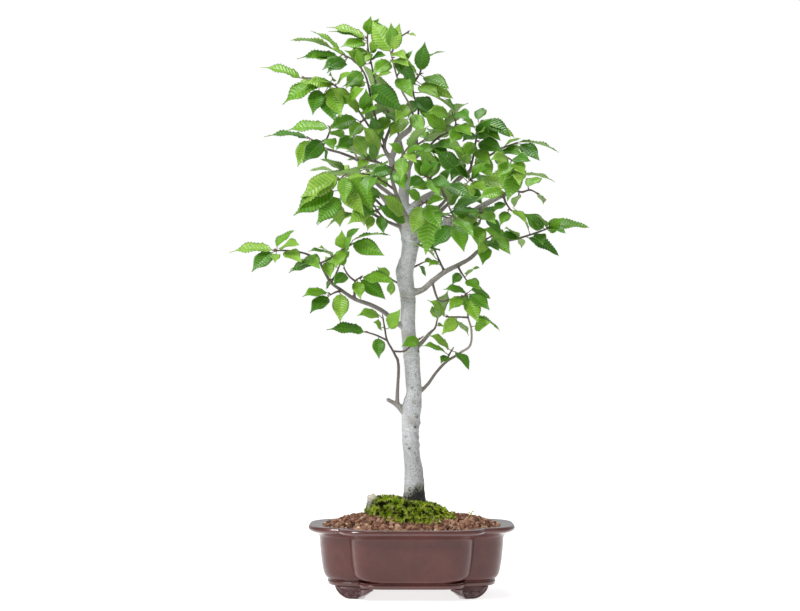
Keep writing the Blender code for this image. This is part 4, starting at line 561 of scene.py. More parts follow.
# Lights: place in metres, power in watts and size in metres.
LIGHTS = (
    ("key", (-1.5, -1.3, 1.65), 40.0, 0.7),
    ("fill", (1.6, -1.2, 0.8), 1.5, 1.2),
    ("top", (0.0, 0.1, 2.3), 26.0, 0.8),
)
LIT_SPOT = Vector((0, 0, 0.3))

# Colours from dark to light: share and colour code.
LEAF_TONES = ((0.0, "357410"), (0.25, "569518"), (0.6, "88C42C"), (0.85, "A6D64A"), (1.0, "AED854"))
MOSS_TONES = ((0.0, "3C6A02"), (0.2, "7CB40A"), (0.45, "B2DC1C"), (0.72, "DEE84A"), (1.0, "F8F2CC"))
GRANULE_TONES = (
    (0.0, "4C2E1F"), (0.22, "7A503E"), (0.5, "9C705A"), (0.8, "B98F74"), (0.93, "CBA98C"), (1.0, "E2C8A8"),
)
# Colours of young wood, from the thinnest twig to a thick one.
YOUNG_BARK = (
    (0.0, "7E9A3A"), (0.1, "6B4A30"), (0.22, "3E2A26"), (0.4, "5A4A45"), (0.6, "7A716C"), (1.0, "989590"),
)

# Further leaves that fill the inside of the crown: foot and tip in the view, share of the swing
# towards the viewer, and share in which the upper face looks at the viewer.
INNER_LEAVES = (
    # Top and left.
    (368, 33, 378, 20, 0.5, 0.9),
    (368, 33, 383, 27, 0.8, 0.7), (367, 43, 343, 47, 0.6, 0.6), (371, 50, 364, 64, 0.8, 0.8),
    (370, 52, 383, 46, 0.8, 0.7), (388, 116, 378, 134, 0.7, 0.5), (387, 112, 397, 123, 0.8, 0.6),
    (350, 56, 333, 48, 0.6, 0.5), (345, 62, 329, 72, 0.8, 0.6), (365, 82, 343, 86, 0.6, 0.7),
    (337, 84, 352, 72, 0.7, 0.6), (333, 80, 320, 79, 0.8, 0.5), (322, 84, 299, 84, 0.5, 0.3),
    (331, 131, 345, 139, 0.7, 0.5), (327, 138, 333, 149, 0.8, 0.6), (358, 118, 372, 100, 0.6, 0.5),
    (362, 112, 378, 108, 0.7, 0.7), (378, 210, 356, 213, 0.6, 0.7), (381, 214, 384, 231, 0.5, 0.7),
    (366, 190, 378, 198, 0.7, 0.6), (368, 192, 372, 207, 0.6, 0.7), (341, 249, 341, 231, 0.8, 0.85),
    (318, 262, 292, 272, 0.2, 0.4), (346, 250, 337, 268, 0.5, 0.5), (326, 260, 330, 276, 0.6, 0.7),
    (333, 257, 320, 249, 0.8, 0.5), (366, 39, 330, 29, 0.3, 0.35), (366, 64, 347, 52, 0.8, 0.8),
    (368, 54, 378, 40, 0.6, 0.8), (391, 52, 398, 26, 0.5, 0.7), (398, 76, 412, 53, 0.6, 0.5),
    (344, 74, 318, 75, 0.6, 0.6), (354, 102, 334, 87, 0.6, 0.8), (366, 112, 366, 91, 0.7, 0.8),
    (361, 114, 344, 96, 0.7, 0.6), (324, 94, 334, 119, 0.6, 0.7), (379, 151, 363, 128, 0.7, 0.6),
    (380, 144, 371, 118, 0.6, 0.7), (310, 139, 299, 164, 0.6, 0.8), (334, 180, 297, 212, 0.2, 0.3),
    (337, 187, 357, 211, 0.6, 0.6), (398, 191, 377, 179, 0.6, 0.6), (399, 216, 383, 196, 0.6, 0.6),
    (399, 226, 377, 208, 0.5, 0.5), (345, 244, 358, 230, 0.7, 0.6), (332, 62, 309, 59, 0.6, 0.4),
    # Middle and right.
    (403, 156, 402, 178, 0.6, 0.9), (404, 152, 415, 161, 0.7, 0.8), (396, 172, 404, 188, 0.8, 0.8),
    (390, 58, 411, 83, 0.3, 0.4), (391, 52, 404, 58, 0.8, 0.6), (407, 119, 391, 136, 0.6, 0.5),
    (411, 112, 421, 132, 0.6, 0.9), (421, 77, 407, 65, 0.7, 0.6), (420, 86, 437, 97, 0.8, 0.6),
    (417, 98, 411, 115, 0.6, 0.6), (420, 104, 444, 119, 0.6, 0.7), (455, 124, 470, 134, 0.8, 0.7),
    (430, 146, 447, 158, 0.7, 0.6), (432, 144, 421, 156, 0.8, 0.7), (438, 139, 462, 152, 0.4, 0.5),
    (478, 126, 497, 139, 0.5, 0.5), (477, 134, 464, 141, 0.8, 0.6), (475, 148, 489, 163, 0.7, 0.7),
    (500, 150, 519, 140, 0.6, 0.4), (512, 160, 503, 182, 0.5, 0.5), (514, 160, 525, 172, 0.7, 0.9),
    (522, 191, 500, 184, 0.5, 0.3), (520, 237, 501, 236, 0.6, 0.6), (545, 229, 529, 219, 0.5, 0.5),
    (550, 228, 564, 233, 0.8, 0.5), (486, 240, 498, 250, 0.7, 0.6), (486, 246, 483, 263, 0.6, 0.8),
    (473, 203, 486, 213, 0.8, 0.7), (480, 223, 466, 231, 0.6, 0.5), (455, 224, 463, 249, 0.6, 0.4),
    (426, 202, 443, 199, 0.7, 0.7), (427, 177, 413, 160, 0.6, 0.8), (426, 175, 424, 158, 0.8, 0.8),
    (428, 180, 437, 196, 0.7, 0.7), (470, 178, 460, 162, 0.7, 0.5), (471, 179, 486, 163, 0.6, 0.6),
    (465, 186, 481, 203, 0.5, 0.6), (421, 88, 413, 69, 0.6, 0.7), (447, 131, 424, 113, 0.6, 0.7),
    (468, 139, 481, 121, 0.7, 0.8), (493, 143, 477, 134, 0.8, 0.7), (482, 120, 511, 136, 0.3, 0.3),
    (436, 170, 418, 152, 0.7, 0.7), (454, 168, 436, 151, 0.7, 0.7), (470, 167, 451, 152, 0.7, 0.6),
    (480, 165, 466, 151, 0.7, 0.8), (440, 161, 429, 181, 0.6, 0.6), (462, 159, 452, 179, 0.6, 0.7),
    (478, 156, 491, 177, 0.6, 0.8), (436, 187, 411, 190, 0.5, 0.5), (487, 181, 514, 187, 0.4, 0.6),
    (503, 191, 481, 198, 0.6, 0.6), (447, 211, 474, 202, 0.4, 0.5), (484, 203, 458, 207, 0.5, 0.6),
    (451, 226, 435, 246, 0.5, 0.6), (528, 160, 519, 189, 0.4, 0.6), (547, 233, 529, 220, 0.6, 0.9),
    (549, 231, 562, 219, 0.7, 0.8), (507, 239, 484, 230, 0.5, 0.6),
)


def srgb(code):
    """Linear colour from a hexadecimal one."""
    values = [int(code[i : i + 2], 16) / 255 for i in (0, 2, 4)]
    return tuple(v / 12.92 if v <= 0.04045 else ((v + 0.055) / 1.055) ** 2.4 for v in values) + (1.0,)


# The plan of the tree, as the solid model has it.


def place(x, y, depth):
    """The point seen at (x, y) in the view, at that depth in millimetres behind the trunk."""
    ahead = Vector((0, math.cos(VIEW_PITCH), math.sin(VIEW_PITCH)))
    above = Vector((0, -math.sin(VIEW_PITCH), math.cos(VIEW_PITCH)))
    aside = Vector(((x - VIEW_CENTRE_X) / VIEW_FOCAL, 0, 0))
    ray = ahead + aside + above * ((VIEW_CENTRE_Y - y) / VIEW_FOCAL)
    return EYE + ray * ((depth * MM - EYE.y) / ray.y)


def branch_points(name):
    return [place(x, y, depth) for x, y, depth, _ in BRANCHES[name]]


def branch_radii(name):
    return [radius * MM for _, _, _, radius in BRANCHES[name]]


def on_branch_end(spray):
    return spray.point == len(BRANCHES[spray.branch]) - 1


def bent(route, bend):
    """The points of a twig's route, its depth changed more and more towards the far end."""
    last = max(len(route) - 1, 1)
    return [place(x, y, depth + bend * index / last) for index, (x, y, depth) in enumerate(route)]


def spur_ends(spray, further=0.0):
    """The foot of the spray's spur on its branch, and the spur's end or a point further out."""
    foot, first = branch_points(spray.branch)[spray.point], place(*spray.twigs[0][0])
    reach = branch_radii(spray.branch)[spray.point] + SPUR_LENGTH + further
    return foot, foot + (first - foot).normalized() * reach


def twig_lines(spray, bend):
    """The spray's twigs as lines of points: the main one from its spur, then the side twigs."""
    lines = [[spur_ends(spray, GAP)[1]] + bent(spray.twigs[0], bend)]
    for side in spray.twigs[1:]:
        lines.append(side_twig(lines, spray, side, bend))
    return lines


def side_twig(lines, spray, side, bend):
    for number, route in enumerate(spray.twigs[: len(lines)]):
        if side[0] in route:
            position = route.index(side[0]) + (1 if number == 0 else 0)
            start, before = lines[number][position], lines[number][position - 1]
            start = start + (before - start).normalized() * START_SHIFT
            break
    return [start] + bent(side, bend)[1:]


def nearest_on(lines, x, y):
    """The point of the twigs that the sight line through (x, y) passes closest to."""
    best = None
    for line in lines:
        for number, (a, b) in enumerate(zip(line, line[1:])):
            margin = TWIG_END_MARGIN / (b - a).length
            low = margin if number == 0 else 0.0
            high = 1 - margin if number == len(line) - 2 else 1.0
            for step in range(NEAR_STEPS + 1):
                point = a.lerp(b, low + (high - low) * step / NEAR_STEPS)
                sight = place(x, y, point.y / MM)
                distance = (sight - point).length
                if best is None or distance < best[0]:
                    best = (distance, point, sight)
    return best[1], best[2]


def shown_leaf(lines, x, y, tip_x, tip_y, towards, facing):
    """A leaf whose foot and tip are seen at the given places."""
    node, base = nearest_on(lines, x, y)
    if (base - node).length > PETIOLE_LONGEST:
        base = node + (base - node).normalized() * PETIOLE_LONGEST
    flat_tip = place(tip_x, tip_y, base.y / MM)
    seen = (flat_tip - base).length
    hidden = math.sqrt(max(LEAF_LENGTH**2 - seen**2, 0.0))
    tip = place(tip_x, tip_y, (base.y - towards * hidden) / MM)
    chord = tip - base
    if chord.length > LEAF_LONGEST:
        chord = chord.normalized() * LEAF_LONGEST
    if (base - node).length < SHORT_STALK:
        base = node + chord.normalized() * SHORT_STALK
        chord = chord * (1 - SHORT_STALK / chord.length)
    facing_way = UP * (1 - facing) + TO_VIEWER * facing
    return Leaf(node, base, chord, facing_way, 0.35 + 0.3 * (1 - facing))


def ruled_leaf(line, index, count, rng):
    """A leaf set by rule: feet in turn on both sides of the twig, and one at its end."""
    share = 0.25 + 0.75 * (index + 1) / count
    position = share * (len(line) - 1) * 0.97
    whole = min(int(position), len(line) - 2)
    node = line[whole].lerp(line[whole + 1], position - whole)
    along = (line[whole + 1] - line[whole]).normalized()
    across = along.cross(UP).normalized()
    side = 1 if index % 2 else -1
    if index == count - 1:
        way = along + across * rng.uniform(-0.2, 0.2)
    else:
        way = along * 0.6 + across * side
    way = way.normalized() + UP * rng.uniform(-0.45, 0.25)
    way.normalize()
    base = node + way * rng.uniform(4, 7) * MM
    outward = Vector((node.x, node.y, 0)).normalized()
    normal = UP + across * rng.uniform(-0.35, 0.35) + outward * rng.uniform(0, 0.5)
    return Leaf(node, base, way * (rng.uniform(*RULED_LENGTHS) * MM), normal, rng.uniform(0.3, 0.8))


def spray_leaves(spray, lines, seed):
    """The leaves placed one by one, then those set by rule."""
    rng = random.Random(seed)
    leaves = [shown_leaf(lines, *leaf) for leaf in spray.leaves]
    return leaves + [ruled_leaf(lines[0], index, spray.more, rng) for index in range(spray.more)]


def turned(leaf, swing, lift, size):
    """The leaf turned about its foot."""
    across = leaf.chord.cross(leaf.normal).normalized()
    normal = across.cross(leaf.chord).normalized()
    turn = Matrix.Rotation(math.radians(swing), 3, normal) @ Matrix.Rotation(math.radians(lift), 3, across)
    tried = leaf._replace(chord=turn @ leaf.chord * size, normal=turn @ normal)
    way = tried.chord.normalized()
    if (tried.base - tried.node).normalized().dot(way) < SHARPEST_KINK:
        tried = tried._replace(base=tried.node + way * SHORT_STALK)
    return tried


def blade_axes(leaf):
    """The leaf's length and its directions at its foot: along, across and up from the blade."""
    chord = leaf.chord
    along = chord.normalized()
    across = along.cross(leaf.normal).normalized()
    normal = across.cross(along)
    droop = leaf.droop
    start = along * math.cos(droop / 2) + normal * math.sin(droop / 2)
    up = normal * math.cos(droop / 2) - along * math.sin(droop / 2)
    return chord.length, start, across, up


def blade_width(t):
    """Share of the half width at t along the leaf: widest before its middle, with a drawn-out tip."""
    late = np.clip((t - TIP_START) / (0.96 - TIP_START), 0.0, 1.0)
    drawn = 1.0 - TIP_DRAW * late * late * (3 - 2 * late)
    return np.sin(np.pi * t**0.82) ** 0.8 * (1.0 - 0.28 * t**5) * drawn


def blade_points(leaf, t, u, above):
    """Points at t along the leaf and u across it, -1 to 1, raised off the blade by above."""
    length, start, across, up = (np.array(value) for value in blade_axes(leaf))
    droop = leaf.droop
    arc = length * (droop / 2) / math.sin(droop / 2)
    angle = (droop * t)[:, None]
    middle = np.array(leaf.base) + (start * np.sin(angle) - up * (1 - np.cos(angle))) * (arc / droop)
    normal = start * np.sin(angle) + up * np.cos(angle)
    seen = math.hypot(leaf.chord.x, leaf.chord.z) / length
    half = (length * (NARROW_SHARE + SEEN_SHARE * seen) / 2 * blade_width(t) * np.abs(u))[:, None]
    side = across * np.sign(u)[:, None] * math.cos(LEAF_FOLD) + normal * math.sin(LEAF_FOLD)
    return middle + side * half + normal * above[:, None]


def corner_finder(name):
    """Finds the corners of a solid of the frame, in coordinates about the pot's middle."""
    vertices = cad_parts[name].data.vertices
    finder = KDTree(len(vertices))
    for index, vertex in enumerate(vertices):
        finder.insert(vertex.co - SHIFT, index)
    finder.balance()
    return finder


def standing_leaf(leaf, finder):
    """The leaf in the turn and size of the solid one, or nothing where the solid has no such leaf."""
    for size in SIZES:
        for swing, lift in TURNS:
            tried = turned(leaf, swing, lift, size)
            ends = blade_points(tried, np.array([1.0]), np.array([0.0]), np.array([0.0]))
            if finder.find(ends[0])[2] < MATCH:
                return tried
    return None


def standing_lines(name, finder):
    """The spray's twigs with the bend that the solid ones have."""
    spray = SPRAYS[name]
    tries = [twig_lines(spray, bend) for bend in BENDS]
    return min(tries, key=lambda lines: sum(finder.find(line[-1])[2] for line in lines))


# Meshes.


class Bundle:
    """Points, faces and values of one piece, gathered from its parts."""

    def __init__(self):
        self.points, self.faces, self.kinds, self.count = [], [], [], 0
        self.values = {name: [] for name in ("girth", "tone", "under", "vein", "across")}

    def add(self, points, faces, kind=0, **values):
        points = np.asarray(points, float).reshape(-1, 3)
        self.points.append(points)
        self.faces += [tuple(index + self.count for index in face) for face in faces]
        self.kinds += [kind] * len(faces)
        for name, held in self.values.items():
            held.append(np.broadcast_to(np.asarray(values.get(name, 0.0), float), (len(points),)))
        self.count += len(points)

    def add_tube(self, path, sizes, sides, knobbly=0.0, **values):
        """Adds a tube. Its girth is its radius, where no other is given."""
        points, faces, girth = tube(path, sizes, sides, knobbly)
        self.add(points, faces, **{"girth": girth, **values})

    def mesh(self, name):
        mesh = bpy.data.meshes.new(name)
        points = np.concatenate(self.points) + np.array(SHIFT)
        mesh.from_pydata(points.tolist(), [], self.faces)
        mesh.polygons.foreach_set("material_index", self.kinds)
        for label, held in self.values.items():
            add_values(mesh, label, np.concatenate(held))
        mesh.shade_smooth()
        return mesh


def finish_piece(name, mesh, materials, slot, *nodes):
    """Puts the mesh in the scene as a piece that rides on the root and stands for the nodes."""
    piece = helper(name, mesh)
    kinds = np.empty(len(mesh.polygons), dtype=np.int32)
    mesh.polygons.foreach_get("material_index", kinds)
    mesh.materials.clear()
    for material in materials:
        mesh.materials.append(material)
    mesh.polygons.foreach_set("material_index", kinds)
    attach(piece, "root")
    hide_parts(*nodes)


def helper(name, data):
    """An object of the scene that isn't a finished piece."""
    obj = bpy.data.objects.new(name, data)
    bpy.context.scene.collection.objects.link(obj)
    return obj


def add_values(mesh, label, values):
    mesh.attributes.new(label, "FLOAT", "POINT").data.foreach_set("value", values)


def evaluated(obj):
    """The object's mesh with its modifiers, and the object removed."""
    graph = bpy.context.evaluated_depsgraph_get()
    mesh = bpy.data.meshes.new_from_object(obj.evaluated_get(graph))
    bpy.data.objects.remove(obj, do_unlink=True)
    return mesh


def face_outward(mesh):
    shape = bmesh.new()
    shape.from_mesh(mesh)
    bmesh.ops.recalc_face_normals(shape, faces=shape.faces)
    shape.to_mesh(mesh)
    shape.free()


def angles_round(count):
    return [2 * math.pi * step / count for step in range(count)]


def loft_faces(rows, count, first=0):
    """Faces between rows of count points, which start at the point first."""
    faces = []
    for row in range(rows - 1):
        for i in range(count):
            j = (i + 1) % count
            low, high = first + row * count, first + (row + 1) * count
            faces.append((low + i, low + j, high + j, high + i))
    return faces


def capped_loft(rings):
    """Points and faces of a closed solid through rings of like count."""
    count = len(rings[0])
    points = [point for one in rings for point in one]
    faces = loft_faces(len(rings), count)
    faces += [tuple(reversed(range(count))), tuple(range(len(points) - count, len(points)))]
    return points, faces


def lofted(name, rings):
    """The mesh of a closed solid through rings of like count."""
    bundle = Bundle()
    bundle.add(*capped_loft(rings))
    return bundle.mesh(name)


def smooth_path(points, radii, steps):
    """Points and radii along a smooth curve through the given points."""
    last = len(points) - 1
    tangents = []
    for index in range(last + 1):
        tangents.append((points[min(index + 1, last)] - points[max(index - 1, 0)]).normalized())
    path, sizes = [], []
    for index in range(last):
        a, b = points[index], points[index + 1]
        reach = (b - a).length
        for step in range(steps):
            t = step / steps
            h = (2 * t**3 - 3 * t**2 + 1, t**3 - 2 * t**2 + t, -2 * t**3 + 3 * t**2, t**3 - t**2)
            spot = a * h[0] + tangents[index] * reach * h[1] + b * h[2]
            path.append(spot + tangents[index + 1] * reach * h[3])
            sizes.append(radii[index] + (radii[index + 1] - radii[index]) * t)
    return path + [points[-1]], sizes + [radii[-1]]


def tube(path, sizes, sides, knobbly=0.0):
    """Points and faces of a closed tube with a rounded end, and the radius at each point."""
    along = (path[1] - path[0]).normalized()
    frame_x = along.orthogonal().normalized()
    points, girth = [path[0]], [sizes[0] / MM]
    for index, (middle, size) in enumerate(zip(path, sizes)):
        ahead = (path[min(index + 1, len(path) - 1)] - path[max(index - 1, 0)]).normalized()
        frame_x = along.rotation_difference(ahead) @ frame_x
        frame_x = (frame_x - ahead * frame_x.dot(ahead)).normalized()
        along = ahead
        frame_y = along.cross(frame_x)
        for angle in angles_round(sides):
            way = frame_x * math.cos(angle) + frame_y * math.sin(angle)
            bump = 1 + knobbly * noise.noise((middle + way * size) / (5 * MM))
            points.append(middle + way * size * bump)
            girth.append(size / MM)
    points.append(path[-1] + along * sizes[-1] * 0.8)
    girth.append(sizes[-1] / MM)
    faces = loft_faces(len(path), sides, 1)
    end, first = len(points) - 1, len(points) - 1 - sides
    for side in range(sides):
        after = (side + 1) % sides
        faces += [(0, 1 + after, 1 + side), (end, first + side, first + after)]
    return points, faces, girth


# Leaves.


def leaf_template():
    """Places along and across the fine leaf, how each point is raised, and the faces between them."""
    phases = np.arange(-0.25, VEIN_PAIRS + 0.51, 1 / ROWS_PER_VEIN)
    rows, columns = len(phases), len(ACROSS)
    phase_grid, u_grid = np.meshgrid(phases, ACROSS, indexing="ij")
    s_grid = FIRST_VEIN + VEIN_STEP * phase_grid
    t_grid = s_grid + VEIN_SLANT * np.abs(u_grid) * (1 - s_grid) * (1 - np.exp(-s_grid / 0.06))
    grids = (t_grid, u_grid, phase_grid)
    top = [grid.ravel() for grid in grids] + [np.ones(rows * columns)]
    below = [grid[:, 1:-1].ravel() for grid in grids] + [-np.ones(rows * (columns - 2))]
    poles = [np.array([0.0, 1.0]), np.zeros(2), np.array([0.0, VEIN_PAIRS]), np.zeros(2)]
    t, u, phase, face = (np.concatenate(group) for group in zip(top, below, poles))
    base, tip = len(t) - 2, len(t) - 1

    def over(row, column):
        return row * columns + column

    def under(row, column):
        if column in (0, columns - 1):
            return over(row, column)
        return rows * columns + row * (columns - 2) + column - 1

    faces, last = [], rows - 1
    for row in range(last):
        for a in range(columns - 1):
            faces.append((over(row, a), over(row, a + 1), over(row + 1, a + 1), over(row + 1, a)))
            faces.append((under(row + 1, a), under(row + 1, a + 1), under(row, a + 1), under(row, a)))
    for a in range(columns - 1):
        faces += [(base, over(0, a + 1), over(0, a)), (base, under(0, a), under(0, a + 1))]
        faces += [(tip, over(last, a), over(last, a + 1)), (tip, under(last, a + 1), under(last, a))]
    return t, u, phase, face, faces


LEAF_T, LEAF_U, LEAF_PHASE, LEAF_FACE, LEAF_FACES = leaf_template()


def hump(away, width):
    """A smooth bump, 1 high, by the distance from its middle."""
    return np.exp(-((away / width) ** 2))


def add_leaf(bundle, leaf, rng):
    """One fine leaf: pleated between its side veins, waved at its edge, with a rib beneath."""
    size = leaf.chord.length / LEAF_LENGTH
    bulge = -np.cos(2 * np.pi * LEAF_PHASE) * (1 - 0.5 * LEAF_T)
    edge = np.abs(LEAF_U)
    wave = -LEAF_WAVE * np.cos(2 * np.pi * (LEAF_T - EDGE_STATIONS[0]) / 0.47) * np.sign(-LEAF_U) * edge**2
    depth = np.where(LEAF_FACE < 0, RIB_DEPTH * hump(edge, 0.05) * (1 - 0.8 * LEAF_T), 0.0)
    body = LEAF_FACE * BLADE_HALF_THICKNESS * (1 - edge**6)
    pleat = PLEAT_HEIGHT * size * bulge * (0.45 * edge**0.7 + 0.45 * edge**3)
    pleat *= np.sin(np.pi * np.clip(LEAF_T, 0.02, 0.98)) ** 0.5
    above = wave * size * 1.4 + body - depth + pleat
    u = LEAF_U * (1 + CRENATION * bulge * edge**4)
    bundle.add(
        blade_points(leaf, np.clip(LEAF_T, 1e-4, 1.0), u, above), LEAF_FACES, 1, tone=rng.random(),
        under=np.clip(0.5 - LEAF_FACE / 2, 0, 1), vein=LEAF_PHASE, across=LEAF_U, girth=LEAF_T,
    )


def add_stalk(bundle, leaf, rng):
    """The stalk from the twig to the blade."""
    stalk = leaf.base - leaf.node
    start = leaf.node - stalk.normalized() * 0.3 * MM
    end = leaf.base + leaf.chord.normalized() * 1.2 * MM
    middle = leaf.node.lerp(leaf.base, 0.5) - leaf.normal.normalized() * 0.05 * stalk.length
    path, sizes = smooth_path([start, middle, leaf.base, end], STALK_RADII, 3)
    bundle.add_tube(path, sizes, 6, tone=rng.random())


def add_bud(bundle, foot, way, rng):
    """A slender pointed bud."""
    length = BUD_LENGTH * rng.uniform(0.75, 1.15)
    path = [foot + way * length * share for share, _ in BUD_PROFILE]
    bundle.add_tube(path, [width * MM for _, width in BUD_PROFILE], 6, girth=0.75, tone=rng.random())


def add_twig(bundle, line, widest, sunk, rng):
    """A twig that starts a little inside what carries it, thicker at its nodes, with a bud at its end."""
    start = line[0] - (line[1] - line[0]).normalized() * sunk
    last = len(line) - 1
    radii = [widest + (TWIG_TIP_RADIUS * 0.85 - widest) * index / last for index in range(last + 1)]
    path, sizes = smooth_path([start] + line[1:], radii, TWIG_STEPS)
    sizes = [size * (1 + 0.10 * math.exp(-(((i % TWIG_STEPS) / 1.3) ** 2))) for i, size in enumerate(sizes)]
    bundle.add_tube(path, sizes, TWIG_SIDES, 0.10, tone=rng.random())
    add_bud(bundle, line[-1], (line[-1] - line[-2]).normalized(), rng)


def spray_near(x, y):
    """The shown spray whose twigs pass closest to (x, y) in the view."""
    spot, best = Vector((x, y)), None
    for name, spray in SPRAYS.items():
        if name.startswith("spray_back"):
            continue
        for twig in spray.twigs:
            for a, b in zip(twig, twig[1:]):
                a, b = Vector(a[:2]), Vector(b[:2])
                share = min(max((spot - a).dot(b - a) / (b - a).length_squared, 0.0), 1.0)
                away = (a.lerp(b, share) - spot).length
                if best is None or away < best[0]:
                    best = (away, name)
    return best[1]


def inner_leaf(lines, x, y, tip_x, tip_y, towards, facing):
    """A leaf of the crown's inside, stretched from its foot."""
    far_x, far_y = x + (tip_x - x) * INNER_STRETCH, y + (tip_y - y) * INNER_STRETCH
    return shown_leaf(lines, x, y, far_x, far_y, towards, facing)


def make_spray(name, number, materials):
    """The twigs and leaves of one spray as one piece."""
    finder = corner_finder(name)
    rng = random.Random(100 + number)
    bundle = Bundle()
    lines = standing_lines(name, finder)
    add_twig(bundle, lines[0], TWIG_RADIUS, 2.5 * MM, rng)
    for line in lines[1:]:
        add_twig(bundle, line, TWIG_RADIUS * 0.85, 0.0, rng)
    leaves = [standing_leaf(leaf, finder) for leaf in spray_leaves(SPRAYS[name], lines, number)]
    near = [leaf for leaf in INNER_LEAVES if spray_near(*leaf[:2]) == name]
    leaves += [turned(inner_leaf(lines, *leaf), 0, 0, 1.0) for leaf in near]
    for standing in leaves:
        if standing is None:
            continue
        add_leaf(bundle, standing, rng)
        add_stalk(bundle, standing, rng)
        if rng.random() < BUD_SHARE:
            way = (standing.base - standing.node).normalized() + UP * rng.uniform(0.3, 0.9)
            add_bud(bundle, standing.node, way.normalized(), rng)
    finish_piece(name + "_grown", bundle.mesh(name + "_grown"), materials, "leaf_green", name)


# Trunk and branches.


def branch_run(name):
    """The branch's points and radii, run on to the spur's end where its own end carries a spray."""
    points, radii = branch_points(name), branch_radii(name)
    for spray in SPRAYS.values():
        if spray.branch == name and on_branch_end(spray):
            points.append(spur_ends(spray)[1])
            radii.append(TWIG_RADIUS)
    return points, radii


def collared(sizes, path, thick):
    """Radii that widen towards the foot of a branch, where it grows out of its parent."""
    run, out = 0.0, []
    for index, size in enumerate(sizes):
        run += (path[index] - path[index - 1]).length if index else 0.0
        out.append(size * (1 + COLLAR_WIDTH * math.exp(-((run / (thick * COLLAR_REACH)) ** 2))))
    return out


def tree_tubes():
    """Every branch and spur as a tube, and the places along them with their radii."""
    bundle, spine = Bundle(), []

    def grow(path, sizes, thicker, sides, knobbly):
        bundle.add_tube(path, [size + thicker for size in sizes], sides, knobbly)
        spine.extend((point, size / MM) for point, size in zip(path, sizes))

    for name in BRANCHES:
        points, radii = branch_run(name)
        path, sizes = smooth_path(points, radii, BRANCH_STEPS)
        if name not in RUNS_ON:
            sizes = collared(sizes, path, radii[0])
        grow(path, sizes, 0.12 * MM, TRUNK_SIDES if name == "trunk" else BRANCH_SIDES, 0.05)
    for spray in SPRAYS.values():
        if not on_branch_end(spray):
            radii = [TWIG_RADIUS * 1.5, TWIG_RADIUS * 1.05]
            path, sizes = smooth_path(spur_ends(spray), radii, BRANCH_STEPS)
            grow(path, sizes, 0.0, BRANCH_SIDES, 0.0)
    return bundle, spine


def girth_at(points, spine):
    """The radius, in millimetres, of the branch whose skin each point lies on, blended at the forks."""
    middles = np.array([point for point, _ in spine]) / MM
    sizes = np.array([size for _, size in spine])
    girth = np.empty(len(points))
    for start in range(0, len(points), 4000):
        spots = points[start : start + 4000, None, :] / MM
        away = np.abs(np.linalg.norm(spots - middles[None], axis=2) - sizes[None])
        weight = np.exp(-((away - away.min(axis=1, keepdims=True)) / FORK_BLEND))
        girth[start : start + 4000] = (weight * sizes).sum(axis=1) / weight.sum(axis=1)
    return girth


def trunk_relief(points, girth):
    """How far bark stands out at each point, how dark its marks are and how pale its ring lines."""
    out, dark, pale = (np.zeros(len(points)) for _ in range(3))
    thick = np.clip((girth - 2.5) / 4.0, 0.0, 1.0)
    for index, point in enumerate(points):
        spot = Vector(point)
        ripple = noise.noise(Vector((spot.x, spot.y, spot.z * 0.35)) / (4.5 * MM))
        fine = noise.noise(spot / (1.6 * MM))
        out[index] = (0.45 * ripple + 0.14 * fine) * (0.25 + 0.75 * thick[index])
    on_trunk, on_wood = girth > 5, girth > 4
    for view_y, height in TRUNK_RINGS:
        tilt = points[:, 0] * 0.12 + 0.8 * MM * np.sin(points[:, 1] / (4 * MM))
        away = (points[:, 2] + tilt - place(410, view_y, 0).z) / MM
        out += height * hump(away, 1.0) * on_trunk
        pale = np.maximum(pale, height * hump(away, 0.45) * on_trunk)
        dark = np.maximum(dark, 0.5 * height * hump(away + 1.0, 0.5) * on_trunk)
    for x, y, depth, radius, height, darkness in TRUNK_MARKS:
        away = (points - np.array(place(x, y, depth))) * np.array((1.0, 0.55, 1.0))
        away = np.linalg.norm(away, axis=1) / (radius * MM)
        out += height * hump(away, 1.0) * on_wood
        dark = np.maximum(dark, darkness * hump(away, 0.75) * on_wood)
    start, way = np.array(place(*CREASE_PLACE)), np.array(CREASE_WAY)
    along = (points - start) @ way / MM
    away = (points - start) @ np.array((way[2], 0.0, -way[0])) / MM
    on_crease = (np.abs(along) < CREASE_REACH) * on_trunk * (points[:, 1] < 0)
    out += 0.5 * hump(away, 1.0) * on_crease
    pale = np.maximum(pale, 0.8 * hump(away, 0.5) * on_crease)
    return out * MM, dark, pale


def make_tree(material):
    """The trunk and branches with soft forks, from tubes melted together and given their bark."""
    bundle, spine = tree_tubes()
    rough = helper("tree_rough", bundle.mesh("tree_rough"))
    remesh = rough.modifiers.new("melt", "REMESH")
    remesh.mode = "VOXEL"
    remesh.voxel_size = REMESH_SIZE
    soften = rough.modifiers.new("soften", "SMOOTH")
    soften.factor = 0.5
    soften.iterations = SOFTEN_STEPS
    mesh = evaluated(rough)
    points, normals = np.empty((2, len(mesh.vertices) * 3))
    mesh.vertices.foreach_get("co", points)
    mesh.vertices.foreach_get("normal", normals)
    points, normals = points.reshape(-1, 3) - np.array(SHIFT), normals.reshape(-1, 3)
    girth = girth_at(points, spine)
    out, dark, pale = trunk_relief(points, girth)
    points = points + normals * out[:, None] + np.array(SHIFT)
    mesh.vertices.foreach_set("co", points.ravel())
    tone = np.full(len(points), 0.5)
    for label, values in (("girth", girth), ("under", dark), ("vein", pale), ("tone", tone)):
        add_values(mesh, label, values)
    mesh.shade_smooth()
    finish_piece("tree_grown", mesh, [material], "bark", "tree")


